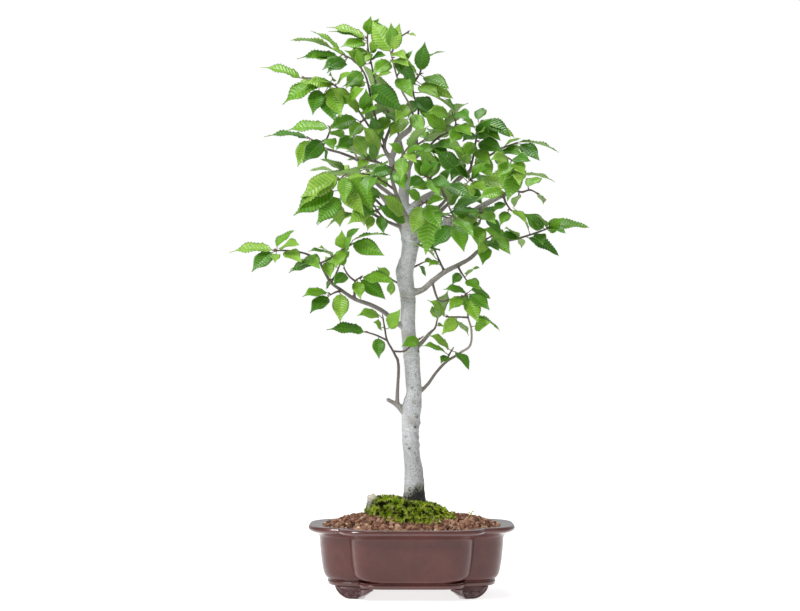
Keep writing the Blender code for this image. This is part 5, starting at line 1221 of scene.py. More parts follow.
def make_root_stub(material):
    """The pale stump of an old root, with a broken rim."""
    points = [STUB_PLACE + Vector((aside * MM, 0, height * MM)) for height, aside, _ in STUB_STEPS]
    path, sizes = smooth_path(points, [STUB_RADIUS * width for _, _, width in STUB_STEPS], 4)
    tube_points, faces, _ = tube(path, sizes, 24, 0.25)
    bundle = Bundle()
    heights = np.array([point.z for point in tube_points])
    bundle.add(tube_points, faces, girth=6.0, tone=np.where(heights > STUB_TOP - 8 * MM, 1.0, 0.92))
    finish_piece("root_stub_grown", bundle.mesh("root_stub_grown"), [material], "bark", "root_stub")


# Pot.


def lobe_radius(angle, half_width, half_depth, squareness):
    along = abs(math.cos(angle) / half_width) ** squareness
    across = abs(math.sin(angle) / half_depth) ** squareness
    return (along + across) ** (-1.0 / squareness)


def outline_radius(angle, offset, corner=0.0):
    """Radius of the pot's outline at an angle, and whether the front lobe sets it."""
    width, depth, squareness = FRONT_LOBE
    front = lobe_radius(angle, width + offset - corner, depth + offset, squareness)
    width, depth, squareness = SIDE_LOBE
    side = lobe_radius(angle, width + offset, depth + offset, squareness)
    return max(front, side), front > side


def notch_angle(offset, corner=0.0):
    low, high = 0.2, 1.2
    for _ in range(40):
        middle = (low + high) / 2
        if outline_radius(middle, offset, corner)[1]:
            high = middle
        else:
            low = middle
    return (low + high) / 2


def outline_angles(offset, steps, corner=0.0):
    notch = notch_angle(offset, corner)
    corners = (-notch, notch, math.pi - notch, math.pi + notch, 2 * math.pi - notch)
    sides = zip(corners, corners[1:])
    return [start + (end - start) * step / steps for start, end in sides for step in range(steps)]


def panel_corner(height):
    """How far the front panel draws in at its rounded lower corners."""
    up = min(max(height - PANEL_FOOT, 0.0), PANEL_CORNER)
    if height < PANEL_FOOT - 1.5 * MM:
        return 0.0
    return PANEL_CORNER - math.sqrt(PANEL_CORNER**2 - (PANEL_CORNER - up) ** 2)


def ring(offset, height, steps, corner=0.0):
    points = []
    for angle in outline_angles(offset, steps, corner):
        radius = outline_radius(angle, offset, corner)[0]
        points.append((radius * math.cos(angle), radius * math.sin(angle), height))
    return points


def fine_profile():
    """The outer profile with more points, rounded between the given ones."""
    knots = [Vector((offset, 0, height)) for offset, height in OUTER_PROFILE]
    path, _ = smooth_path(knots, [1.0] * len(knots), PROFILE_STEPS)
    return [(point.x, point.z) for point in path]


def edge_height(share):
    """The foot's lower edge at a share of its half span, rounded at the given points."""
    total = 0.0
    for shift in (-0.08, -0.04, 0.0, 0.04, 0.08):
        spot = min(max(share + shift, -1.0), 1.0)
        for (low, low_height), (high, high_height) in zip(FOOT_EDGE, FOOT_EDGE[1:]):
            if low <= spot <= high:
                total += low_height + (high_height - low_height) * (spot - low) / (high - low)
                break
    return max(total / 5 - 0.1, 0.0)


def foot_place(sign_x, sign_y, share, height, out):
    """A point of a foot: along its band, up, and outward from the outline of the pot's base."""
    base_offset = OUTER_PROFILE[0][0] * MM
    notch = notch_angle(base_offset)
    scale = 1.0 / outline_radius(notch, base_offset)[0]
    angle = notch + (FOOT_SHIFT + share * FOOT_HALF_SPAN) * scale
    radius = outline_radius(angle, base_offset)[0] + out
    return (sign_x * radius * math.cos(angle), sign_y * radius * math.sin(angle), height)


def foot_part(sign_x, sign_y):
    """A cloud foot with rounded edges."""
    rings = []
    for index in range(FOOT_SAMPLES + 1):
        share = -1 + 2 * index / FOOT_SAMPLES
        low = edge_height(share) * MM
        tall = FOOT_HEIGHT + FOOT_SINK - low
        thick = FOOT_THICKNESS - (FOOT_THICKNESS - FOOT_END_THICKNESS) * abs(share) ** 3
        section = [(out * MM, height) for out, height in FOOT_FACE]
        section += [(-thick + 0.4 * MM, 1.0), (-thick, 0.6), (-thick * 0.7, 0.12), (-thick * 0.55, 0.0)]
        rings.append([foot_place(sign_x, sign_y, share, low + tall * height, out) for out, height in section])
    return capped_loft(rings)


def add_scrolls(bundle, sign_x, sign_y):
    """Curled scrolls and a raised rim in relief on the face of a foot."""
    for centre, middle, size, turns in SCROLLS:
        path = []
        for step in range(SCROLL_STEPS + 1):
            turn = step / SCROLL_STEPS
            angle = 0.4 + turns * 2 * math.pi * turn
            reach = size * (1 - 0.85 * turn)
            share = centre - reach * MM / FOOT_HALF_SPAN * math.cos(angle)
            height = (middle + reach * math.sin(angle)) * MM
            path.append(Vector(foot_place(sign_x, sign_y, share, height, 0.1 * MM)))
        bundle.add_tube(path, [(1.0 - 0.45 * step / SCROLL_STEPS) * MM for step in range(len(path))], 7)
    shares = [-0.94 + 1.88 * step / EDGE_STEPS for step in range(EDGE_STEPS + 1)]
    heights = [(edge_height(share) + 0.9) * MM for share in shares]
    path = [Vector(foot_place(sign_x, sign_y, share, height, 0.0)) for share, height in zip(shares, heights)]
    bundle.add_tube(path, [0.7 * MM] * len(path), 7)


def make_pot(material):
    """The fired body with its rim roll, base band, feet and drain holes."""
    rings = []
    for offset, height in fine_profile():
        rings.append(ring(offset * MM, height * MM, POT_STEPS, panel_corner(height * MM)))
    for share in (0.25, 0.5, 0.75, 1.0):
        offset = WALL_TOP_OFFSET + (WALL_FOOT_OFFSET - WALL_TOP_OFFSET) * (share - 0.25) / 0.75
        height = SOIL_RIM_HEIGHT - 1 * MM + (FLOOR_TOP - SOIL_RIM_HEIGHT + 1 * MM) * (share - 0.25) / 0.75
        rings.append(ring(offset, height, POT_STEPS))
    shell = helper("pot_shell", lofted("pot_shell", rings))
    face_outward(shell.data)
    cutters = []
    for side in (-1, 1):
        spot = (side * DRAIN_X + SHIFT.x, SHIFT.y, FLOOR_TOP)
        bpy.ops.mesh.primitive_cylinder_add(
            vertices=DRAIN_SIDES, radius=DRAIN_RADIUS, depth=DRAIN_CUT, location=spot
        )
        cutters.append(bpy.context.active_object)
        hole = shell.modifiers.new("hole", "BOOLEAN")
        hole.object = cutters[-1]
        hole.solver = "EXACT"
    mesh = evaluated(shell)
    for cutter in cutters:
        bpy.data.objects.remove(cutter, do_unlink=True)
    feet = Bundle()
    for sign_x in (-1, 1):
        for sign_y in (-1, 1):
            feet.add(*foot_part(sign_x, sign_y))
            add_scrolls(feet, sign_x, sign_y)
    feet_mesh = feet.mesh("feet")
    face_outward(feet_mesh)
    shape = bmesh.new()
    shape.from_mesh(mesh)
    shape.from_mesh(feet_mesh)
    shape.to_mesh(mesh)
    shape.free()
    mesh.shade_smooth()
    mesh.set_sharp_from_angle(angle=math.radians(POT_SHARPEST))
    finish_piece("pot_fired", mesh, [material], "unglazed_clay", "pot")


def make_screens(material):
    """The mesh sheets over the drain holes, woven from thin wires."""
    middle = FLOOR_TOP + GAP + SCREEN_THICKNESS / 2
    for side, name in ((-1, "drain_screen_left"), (1, "drain_screen_right")):
        bundle = Bundle()
        for index in range(WIRES):
            across = SCREEN_HALF * 0.96 * (-1 + index / 4)
            for lengthwise in (True, False):
                path = []
                for step in range(WIRE_STEPS + 1):
                    run = SCREEN_HALF * 0.98 * (-1 + step / 16)
                    weave = WEAVE_HEIGHT * math.cos(math.pi * (step / 4 + index + (0 if lengthwise else 1)))
                    x, y = (run, across) if lengthwise else (across, run)
                    path.append(Vector((side * DRAIN_X + x, y, middle + weave)))
                bundle.add_tube(path, [WIRE_RADIUS] * len(path), 6)
        finish_piece(name + "_woven", bundle.mesh(name), [material], "black_mesh", name)


# Soil and moss.


def grain(x, y, scale):
    u, v = x / (scale * MM), y / (scale * MM)
    return 0.5 * math.sin(u + 1.7 * math.sin(v * 0.9)) + 0.5 * math.cos(v * 1.1 + 1.3 * math.sin(u * 0.8))


def soil_rings(shares, steps, lift):
    """Rings over the top of the soil, from the wall at share 1 to the flat middle at share 0."""
    rings = []
    for share in shares:
        row = []
        for x, y, _ in ring(WALL_TOP_OFFSET - 0.4 * MM, 0.0, steps):
            angle = math.atan2(y, x)
            top = lobe_radius(angle, SOIL_TOP_HALF_WIDTH, SOIL_TOP_HALF_DEPTH, 2.0)
            wall = math.hypot(x, y)
            radius = top + (wall - top) * share if share >= 0 else top * (1 + share)
            spot_x, spot_y = radius * math.cos(angle), radius * math.sin(angle)
            up = SOIL_TOP_HEIGHT
            if share > 0:
                up += (SOIL_RIM_HEIGHT - SOIL_TOP_HEIGHT) * share**1.3
                up += SOIL_RELIEF * grain(spot_x, spot_y, 4.0) * math.sin(math.pi * min(share * 1.2, 1.0))
            row.append((spot_x, spot_y, up + lift))
        rings.append(row)
    return rings


def shape_set(label, count, build, rng):
    """A collection of small shapes, each made by build."""
    shapes = bpy.data.collections.new(label)
    for number in range(count):
        shape = bmesh.new()
        build(shape, rng)
        mesh = bpy.data.meshes.new(f"{label}_{number}")
        shape.to_mesh(mesh)
        shape.free()
        shapes.objects.link(bpy.data.objects.new(f"{label}_{number}", mesh))
    return shapes


def wrap(shape):
    """Faces round the outermost points of a shape."""
    hull = bmesh.ops.convex_hull(shape, input=shape.verts)
    inside = [item for item in hull["geom_interior"] if isinstance(item, bmesh.types.BMVert)]
    bmesh.ops.delete(shape, geom=inside, context="VERTS")
    bmesh.ops.recalc_face_normals(shape, faces=shape.faces)


def build_rock(shape, rng):
    """A small irregular rock, the hull of a few random points."""
    for _ in range(13):
        way = Vector((rng.gauss(0, 1), rng.gauss(0, 1), rng.gauss(0, 0.8))).normalized()
        shape.verts.new(way * rng.uniform(0.42, 0.56) * Vector((1.0, 0.85, 0.75)).length / 1.5)
    wrap(shape)


def build_shoot(shape, rng):
    """A small moss shoot: a few pointed leaflets that spread from one foot."""
    for leaflet in range(5):
        angle = 2 * math.pi * (leaflet + rng.uniform(-0.3, 0.3)) / 5
        spread = rng.uniform(0.3, 0.65) if leaflet % 2 else rng.uniform(0.05, 0.3)
        out = Vector((math.cos(angle), math.sin(angle), 0))
        side = Vector((-out.y, out.x, 0)) * 0.12
        waist = out * spread * 0.45 + UP * 0.3
        places = (out * 0.02, waist - side, waist + side, out * spread + UP * rng.uniform(0.75, 1.05))
        root, left, right, tip = (shape.verts.new(spot) for spot in places)
        for corners in ((root, left, tip), (root, tip, right), (root, right, left), (left, right, tip)):
            shape.faces.new(corners)


def build_chip(shape, rng):
    """A flat dry chip, such as an old bud scale or a bit of leaf."""
    for height in (-0.05, 0.05):
        for angle in angles_round(6):
            reach = rng.uniform(0.3, 0.55)
            x, y = reach * math.cos(angle), 0.45 * reach * math.sin(angle)
            shape.verts.new((x, y, height + 0.12 * math.cos(angle)))
    wrap(shape)


def scatter_tree():
    """A Geometry Nodes tree that sets one of several shapes at random places on a surface."""
    inputs = (
        ("Surface", "Geometry"), ("Density", "Float"), ("Seed", "Int"), ("Smallest", "Float"),
        ("Largest", "Float"), ("Tilt", "Float"), ("Shapes", "Collection"), ("Material", "Material"),
    )
    side = new_tree("scatter", "GeometryNodeTree", inputs, (("Scattered", "Geometry"),))
    given = side.add("NodeGroupInput").outputs
    seed, tilt = given["Seed"], given["Tilt"]
    ground = {"Mesh": given["Surface"], "Density": given["Density"], "Seed": seed}
    spots = side.add("GeometryNodeDistributePointsOnFaces", ground).outputs
    chosen = {"Collection": given["Shapes"], "Separate Children": True, "Reset Children": True}
    shapes = side.add("GeometryNodeCollectionInfo", chosen)
    back = side.part(tilt, -1.0)
    low = side.add("ShaderNodeCombineXYZ", {"X": back, "Y": back, "Z": -math.pi})
    high = side.add("ShaderNodeCombineXYZ", {"X": tilt, "Y": tilt, "Z": math.pi})
    leans = {0: low.outputs[0], 1: high.outputs[0], "Seed": seed}
    lean = side.add("FunctionNodeRandomValue", leans, data_type="FLOAT_VECTOR")
    turn = side.add("FunctionNodeEulerToRotation", {0: lean.outputs[0]})
    turns = {"Rotation": spots["Rotation"], "Rotate By": turn.outputs[0]}
    rotate = side.add("FunctionNodeRotateRotation", turns, rotation_space="LOCAL")
    size = side.add("FunctionNodeRandomValue", {2: given["Smallest"], 3: given["Largest"], "Seed": seed})
    copies = side.add("GeometryNodeInstanceOnPoints", {
        "Points": spots["Points"], "Instance": shapes.outputs["Instances"], "Pick Instance": True,
        "Rotation": rotate.outputs[0], "Scale": size.outputs[1],
    })
    tone = side.add("FunctionNodeRandomValue").outputs[1]
    tones = {"Geometry": copies.outputs["Instances"], "Name": "tone", "Value": tone}
    store = side.add("GeometryNodeStoreNamedAttribute", tones, domain="INSTANCE")
    realise = side.add("GeometryNodeRealizeInstances", {"Geometry": store.outputs["Geometry"]})
    finish = {"Geometry": realise.outputs["Geometry"], "Material": given["Material"]}
    paint = side.add("GeometryNodeSetMaterial", finish)
    side.add("NodeGroupOutput", {0: paint.outputs["Geometry"]})
    return side.tree


def scattered(name, surface, **values):
    """The mesh of what the scatter tree sets on the surface. The values are the tree's inputs."""
    obj = helper(name, surface)
    modifier = obj.modifiers.new("scatter", "NODES")
    modifier.node_group = SCATTER
    for item in SCATTER.interface.items_tree:
        if item.in_out == "INPUT" and item.name in values:
            modifier[item.identifier] = values[item.name]
    obj.update_tag()
    return evaluated(obj)


def joined(mesh, others):
    """One mesh of several, with the values that they share."""
    first = helper("joined", mesh)
    rest = [helper("joining", other) for other in others]
    with bpy.context.temp_override(active_object=first, selected_editable_objects=[first] + rest):
        bpy.ops.object.join()
    mesh = first.data
    bpy.data.objects.remove(first, do_unlink=True)
    return mesh


def surface_mesh(name, rings, keep):
    """An open surface through the rings, of the faces whose middle keep allows."""
    points = [point for one in rings for point in one]
    faces = []
    for face in loft_faces(len(rings), len(rings[0])):
        if keep(sum((Vector(points[index]) for index in face), Vector()) / 4):
            faces.append(face)
    bundle = Bundle()
    bundle.add(points, faces)
    return bundle.mesh(name)


def trunk_foot():
    return branch_points("trunk")[0]


def moss_edge(angle):
    return 1.0 + 0.07 * math.sin(3 * angle + 0.6) + 0.05 * math.sin(7 * angle)


def moss_way(point):
    """The direction of a point from the moss's middle, and its distance with the half sizes as 1."""
    away = point - MOSS_CENTRE
    across, deep = away.x / MOSS_HALF_WIDTH, away.y / MOSS_HALF_DEPTH
    return math.atan2(deep, across), math.hypot(across, deep)


def in_moss(point, share=1.0):
    angle, away = moss_way(point)
    return away < share * moss_edge(angle)


def in_skirt(point, share=1.0):
    """Whether a point of the soil lies under the thin moss in front of the mound and right of it."""
    for x, y, half_width, half_depth in MOSS_SKIRTS:
        away = Vector(((point.x - x * MM) / half_width, (point.y - y * MM) / half_depth, 0)) / MM
        rough = 1 + 0.3 * noise.noise(Vector((point.x, point.y, 0)) / (7 * MM))
        if away.length < share * rough:
            return True
    return False


def make_soil(material, grain_material):
    """The filling: a closed bed with loose granules of fired clay on it."""
    rings = soil_rings(SOIL_SHARES, SOIL_STEPS, -0.6 * MM)
    wall_share = (SOIL_BOTTOM - FLOOR_TOP) / (SOIL_RIM_HEIGHT - 1.0 * MM - FLOOR_TOP)
    foot_offset = WALL_FOOT_OFFSET + (WALL_TOP_OFFSET - WALL_FOOT_OFFSET) * wall_share - 0.4 * MM
    bed = lofted("soil_bed", [ring(foot_offset, SOIL_BOTTOM, SOIL_STEPS)] + rings)
    bed.materials.append(material)
    rings = soil_rings(SOIL_SHARES + (-0.15, -0.3), SOIL_STEPS, 0.0)
    top = surface_mesh("soil_top", rings, lambda point: not in_moss(point, 0.93) and not in_skirt(point, 0.8))
    grains = scattered(
        "granules", top, Density=GRANULES_PER_M2, Seed=SEED, Smallest=GRANULE_SIZES[0],
        Largest=GRANULE_SIZES[1], Tilt=math.pi, Material=grain_material,
        Shapes=shape_set("rocks", 12, build_rock, random.Random(SEED)),
    )
    piece_mesh = joined(bed, [grains])
    piece_mesh.shade_flat()
    finish_piece("soil_granules_loose", piece_mesh, [material, grain_material], "soil_granules", "soil")


def moss_height(x, y):
    """Height of the moss mound over the soil's flat top, in metres."""
    angle, away = moss_way(Vector((x, y, 0)))
    share = away / moss_edge(angle)
    fall = MOSS_FALL[0] + MOSS_FALL[1] * max(0.0, -math.cos(angle))
    dome = MOSS_PEAK * max(0.0, 1 - share**fall) ** 0.75
    clumps = abs(noise.noise(Vector((x, y, 0)) / CLUMP_SIZE))
    clumps += 0.6 * abs(noise.noise(Vector((x, y, 0.01)) / SMALL_CLUMP_SIZE))
    trunk = trunk_foot()
    hollow = HOLLOW_DEPTH * math.exp(-(((x - trunk.x) ** 2 + (y + 6 * MM) ** 2) / HOLLOW_WIDTH**2))
    far = max(0.0, min(1.0, (x - trunk.x - 8 * MM) / (34 * MM)))
    lumps = (1.8 - 7.5 * clumps) * MM * min(1.0, 9 * max(0.0, 1 - share))
    return dome * 1.03 - hollow - MOSS_SLOPE * far + lumps


def moss_rings():
    """Rings over the mound, from its edge inward."""
    rings = []
    for share in MOSS_SHARES:
        row = []
        for angle in angles_round(96):
            reach = share * moss_edge(angle) * 0.985
            x = MOSS_CENTRE.x + MOSS_HALF_WIDTH * reach * math.cos(angle)
            y = MOSS_CENTRE.y + MOSS_HALF_DEPTH * reach * math.sin(angle)
            row.append((x, y, SOIL_TOP_HEIGHT + GAP + moss_height(x, y)))
        rings.append(row)
    return rings


def sprout_mesh():
    """Thin sprouts with small leaflets."""
    sprouts = Bundle()
    for x, y, length, lean in SPROUTS:
        foot = Vector((x * MM, y * MM, SOIL_TOP_HEIGHT - 2.5 * MM))
        path = [foot + Vector((lean * (step / 5) ** 2, 0.0, step / 5)) * length * MM for step in range(6)]
        sprouts.add_tube(path, [0.45 * MM * (1 - 0.12 * step) for step in range(6)], 6, tone=0.6)
        for step in (2, 3, 4, 5):
            way = Vector((math.cos(2.4 * step), math.sin(2.4 * step), 0.7))
            tips = [path[step], path[step] + way * 1.6 * MM, path[step] + way * 3.2 * MM]
            sprouts.add_tube(tips, [0.3 * MM, 0.75 * MM, 0.2 * MM], 6, tone=0.75)
    return sprouts.mesh("sprouts")


def make_moss(material, litter_material):
    """The mound of moss: a lumpy body covered with shoots, and a little litter."""
    rings = moss_rings()
    floor = [(x, y, SOIL_TOP_HEIGHT + GAP) for x, y, _ in rings[0]]
    body = lofted("moss_body", [floor] + rings)
    rng = random.Random(SEED + 1)
    trunk = trunk_foot()
    top = surface_mesh("moss_top", rings, lambda point: math.hypot(point.x - trunk.x, point.y) > 13 * MM)
    skirt_rings = soil_rings(SKIRT_SHARES, 60, 0.0)
    skirt = surface_mesh("moss_skirt", skirt_rings, lambda point: in_skirt(point) and not in_moss(point, 0.9))
    others = []
    for label, surface, seed, tilt in (("shoots", top, SEED + 2, 0.8), ("low_shoots", skirt, SEED + 4, 0.9)):
        others.append(scattered(
            label, surface, Density=SHOOTS_PER_M2, Seed=seed, Smallest=SHOOT_SIZES[0], Largest=SHOOT_SIZES[1],
            Tilt=tilt, Shapes=shape_set("shoots", 8, build_shoot, rng), Material=material,
        ))
    chips = shape_set("chips", 6, build_chip, rng)
    for label, reach, density in LITTER:
        ground = surface_mesh(f"moss_{label}", rings, lambda point: (point - trunk).xy.length < reach)
        others.append(scattered(
            label, ground, Density=density, Seed=SEED + 3, Smallest=CHIP_SIZES[0], Largest=CHIP_SIZES[1],
            Tilt=1.1, Shapes=chips, Material=litter_material,
        ))
    stems = sprout_mesh()
    for mesh in (body, stems):
        mesh.materials.append(material)
    finish_piece("moss_grown", joined(body, others + [stems]), [material, litter_material], "moss", "moss")


# Materials.


class Nodes:
    """Adds nodes to a tree. What it sets is a value, a colour code or another node's output."""

    def __init__(self, tree):
        self.tree = tree

    def set(self, socket, value):
        if isinstance(value, bpy.types.NodeSocket):
            self.tree.links.new(value, socket)
        else:
            socket.default_value = srgb(value) if socket.type == "RGBA" and isinstance(value, str) else value

    def fill(self, node, inputs):
        for label, value in inputs.items():
            self.set(node.inputs[label], value)
        return node

    def add(self, kind, inputs=None, **settings):
        """A new node with its settings and inputs."""
        node = self.tree.nodes.new(kind)
        for label, value in settings.items():
            setattr(node, label, value)
        return self.fill(node, inputs or {})

    def attribute(self, name):
        return self.add("ShaderNodeAttribute", attribute_name=name).outputs["Fac"]

    def here(self, stretch=(1.0, 1.0, 1.0)):
        """Object coordinates, stretched."""
        spot = self.add("ShaderNodeTexCoord").outputs["Object"]
        return self.add("ShaderNodeMapping", {"Vector": spot, "Scale": stretch}).outputs["Vector"]

    def split(self, vector):
        return self.add("ShaderNodeSeparateXYZ", {0: vector}).outputs

    def mottle(self, scale, stretch=(1.0, 1.0, 1.0)):
        """The patches and specks of the shared group."""
        inputs = {"Place": self.here(stretch), "Scale": scale}
        return self.add("ShaderNodeGroup", inputs, node_tree=MOTTLE).outputs

    def mixed(self, factor, a, b):
        return self.add("ShaderNodeMix", {0: factor, 6: a, 7: b}, data_type="RGBA").outputs[2]

    def sums(self, operation, a, b=0.0, c=0.0):
        return self.add("ShaderNodeMath", {0: a, 1: b, 2: c}, operation=operation).outputs[0]

    def part(self, value, share):
        return self.sums("MULTIPLY", value, share)

    def ramp(self, value, stops):
        """A colour ramp of (place, colour code) stops."""
        node = self.add("ShaderNodeValToRGB", {"Fac": value})
        elements = node.color_ramp.elements
        while len(elements) < len(stops):
            elements.new(0.5)
        for element, (spot, code) in zip(elements, stops):
            element.position = spot
            element.color = srgb(code)
        return node.outputs["Color"]

    def grey(self, value, low, high, out_low=0.0, out_high=1.0):
        """The value spread from low and high to the two others."""
        inputs = {"Value": value, 1: low, 2: high, 3: out_low, 4: out_high}
        return self.add("ShaderNodeMapRange", inputs).outputs["Result"]

    def bump(self, height, strength, distance):
        inputs = {"Height": height, "Strength": strength, "Distance": distance}
        return self.add("ShaderNodeBump", inputs).outputs["Normal"]

    def tinted(self, colour, *tints):
        """The colour with each (share, colour code) mixed in."""
        for share, code in tints:
            colour = self.mixed(share, colour, code)
        return colour

    def dress(self, colour, roughness, normal, **others):
        """Sets the inputs of the material's own shader."""
        shader = self.tree.nodes["Principled BSDF"]
        inputs = {"Base Color": colour, "Roughness": roughness, "Normal": normal}
        for label, value in others.items():
            inputs[label.replace("_", " ")] = value
        return self.fill(shader, inputs)


def new_tree(name, kind, inputs, outputs):
    """A node tree with named inputs and outputs, and the adder of its nodes."""
    tree = bpy.data.node_groups.new(name, kind)
    for way, sockets in (("INPUT", inputs), ("OUTPUT", outputs)):
        for label, held in sockets:
            tree.interface.new_socket(label, in_out=way, socket_type="NodeSocket" + held)
    return Nodes(tree)


def new_look(name):
    """A new material and the adder of its nodes."""
    material = bpy.data.materials.new(name)
    material.use_nodes = True
    return material, Nodes(material.node_tree)


def mottle_group():
    """A group that gives patches: soft ones and fine ones, both from 0 to 1."""
    inputs, outputs = (("Place", "Vector"), ("Scale", "Float")), (("Patches", "Float"), ("Specks", "Float"))
    group = new_tree("mottle", "ShaderNodeTree", inputs, outputs)
    given, result = group.add("NodeGroupInput").outputs, group.add("NodeGroupOutput")
    for number, (factor, low, high) in enumerate(((1.0, 0.35, 0.65), (6.0, 0.45, 0.7))):
        scale = group.part(given["Scale"], factor)
        texture = group.add("ShaderNodeTexNoise", {"Vector": given["Place"], "Scale": scale, "Detail": 4.0})
        group.set(result.inputs[number], group.grey(texture.outputs["Fac"], low, high))
    return group.tree


def leaf_material():
    """Fresh green blade: paler side veins and rib, a soft sheen above and a dull pale underside."""
    material, look = new_look("leaf")
    vein, across, under, tone = (look.attribute(name) for name in ("vein", "across", "under", "tone"))
    edge = look.sums("ABSOLUTE", across)
    from_vein = look.sums("PINGPONG", vein, 0.5)
    rib = look.grey(edge, 0.015, 0.05, 1.0, 0.0)
    line = look.sums("MAXIMUM", look.grey(from_vein, 0.025, 0.085, 1.0, 0.0), rib)
    patches, specks = look.mottle(160.0)
    blade = look.tinted(
        look.ramp(tone, LEAF_TONES),
        (look.part(patches, 0.35), "44861A"),
        (look.grey(from_vein, 0.12, 0.5, 0.0, 0.3), "2F6606"),
        (look.part(line, 0.36), "B4D66A"),
        (look.grey(edge, 0.86, 1.0, 0.0, 0.75), "B4D870"),
    )
    colour = look.mixed(under, blade, look.mixed(look.part(line, 0.55), "8FAE62", "BBD190"))
    height = look.sums("ADD", look.part(from_vein, 2.0), look.part(specks, 0.12))
    roughness = look.grey(under, 0.0, 1.0, 0.36, 0.6)
    shader = look.dress(colour, roughness, look.bump(height, 0.5, 0.0004), Specular_IOR_Level=0.6)
    glow = look.add("ShaderNodeBsdfTranslucent", {"Color": look.mixed(0.55, colour, "A8D63A")})
    both = look.add("ShaderNodeMixShader", {0: 0.3, 1: shader.outputs[0], 2: glow.outputs[0]})
    look.fill(look.tree.nodes["Material Output"], {"Surface": both.outputs[0]})
    return material


def bark_material():
    """Grey beech bark, brown on young wood, with pale cork spots, lichen and dark marks, darker towards the
    trunk's foot, and with painted shade on its right side.
    """
    material, look = new_look("beech_bark")
    girth, dark, pale, tone = (look.attribute(name) for name in ("girth", "under", "vein", "tone"))
    patches, specks = look.mottle(70.0)
    flat_patches, flat_specks = look.mottle(160.0, (1.0, 1.0, 2.8))
    old = look.tinted(look.mixed(patches, "CACDD1", "ABADB1"), (look.part(flat_patches, 0.5), "BCBCB9"))
    bark = look.mixed(look.grey(girth, 3.8, 7.2), look.ramp(look.grey(girth, 0.3, 3.3), YOUNG_BARK), old)
    bark = look.mixed(look.part(flat_specks, 0.28), bark, "CBC9C2")
    for scale, share in ((95.0, 0.3), (165.0, 0.6)):
        _, pores = look.mottle(scale, (1.0, 1.0, 1.3))
        bark = look.mixed(look.grey(pores, 0.35, 0.75, 0.0, share), bark, "4A4A4B")
    lichen = look.sums("MULTIPLY", look.grey(patches, 0.8, 1.0), look.grey(girth, 3.0, 7.0, 0.0, 0.35))
    # The bark grows darker towards the trunk's foot, olive and then near black, with dark specks. On top of
    # that is painted shade: the right side of the tree, away from the key light, is darkened, and the left
    # side is kept lighter.
    right, _, level = look.split(look.here())
    middle = (place(411, 497, 0) + SHIFT).x
    dark_foot_and_right_shade = look.sums("ADD", look.grey(level, 0.102, 0.120, 0.85, 0.0), look.part(specks, 0.4))
    dark_foot_and_right_shade = look.sums("ADD", dark_foot_and_right_shade, look.grey(right, middle - 0.009, middle + 0.005, -0.45, 0.12))
    dark_foot_and_right_shade = look.sums("MULTIPLY", dark_foot_and_right_shade, look.grey(tone, 0.9, 1.0, 1.0, 0.0))
    bark = look.tinted(
        bark,
        (lichen, "968F7C"),
        (look.part(pale, 0.8), "D6D4CC"),
        (look.part(dark, 0.9), "332C26"),
        (look.grey(tone, 0.9, 1.0, 0.0, 0.75), "D9D0BB"),
        # Olive, then near black: the dark foot, and the painted shade on the right side.
        (look.grey(dark_foot_and_right_shade, 0.2, 0.5, 0.0, 0.6), "5A5A3C"),
        (look.grey(dark_foot_and_right_shade, 0.55, 0.75, 0.0, 0.97), "0E0C08"),
    )
    height = look.sums("ADD", look.part(flat_specks, 0.6), specks)
    look.dress(bark, look.grey(specks, 0.0, 1.0, 0.62, 0.85), look.bump(height, 0.5, 0.0004))
    return material


def clay_material():
    """Unglazed purple-brown stoneware with a satin skin, darker low down, and a painted pale sheen on the
    upward faces of its rim.
    """
    material, look = new_look("fired_clay")
    patches, specks = look.mottle(22.0)
    # Fine specks: a faint pale dusty tint and a fine relief, and they break up the painted sheen on the rim.
    _, dust_and_sheen = look.mottle(240.0)
    _, _, level = look.split(look.here())
    _, _, upward = look.split(look.add("ShaderNodeNewGeometry").outputs["True Normal"])
    # Painted sheen: the upward faces at the top of the rim are mixed towards pale grey, a little less where
    # the fine specks are.
    rim = look.sums("MULTIPLY", look.grey(level, 0.070, 0.0725), look.grey(upward, 0.86, 0.97))
    rim = look.sums("MULTIPLY", rim, look.grey(dust_and_sheen, 0.0, 1.0, 0.45, 0.25))
    clay = look.tinted(
        look.mixed(patches, "4A211C", "582A25"),
        (look.part(specks, 0.3), "3E1D17"),
        (look.part(dust_and_sheen, 0.08), "7C5D58"),
        (rim, "B2ACB2"),
        (look.grey(level, 0.0105, 0.0125, 0.4, 0.0), "3C1E24"),
    )
    rubbed = look.sums("MAXIMUM", look.grey(level, 0.0195, 0.0215, 1.0, 0.0), look.grey(level, 0.0655, 0.068))
    look.dress(
        clay, look.grey(specks, 0.0, 1.0, 0.3, 0.38), look.bump(dust_and_sheen, 0.18, 0.0002), Specular_IOR_Level=0.3,
        Coat_Weight=look.grey(rubbed, 0.0, 1.0, 0.4, 1.0), Coat_Roughness=0.14,
    )
    return material


def granule_material():
    """Granules of fired soil: brown with tan and dark ones, each in its own tone."""
    material, look = new_look("fired_soil")
    _, specks = look.mottle(500.0)
    colour = look.tinted(look.ramp(look.attribute("tone"), GRANULE_TONES), (look.part(specks, 0.3), "5A3A2A"))
    look.dress(colour, 0.92, look.bump(specks, 0.5, 0.0003))
    return material


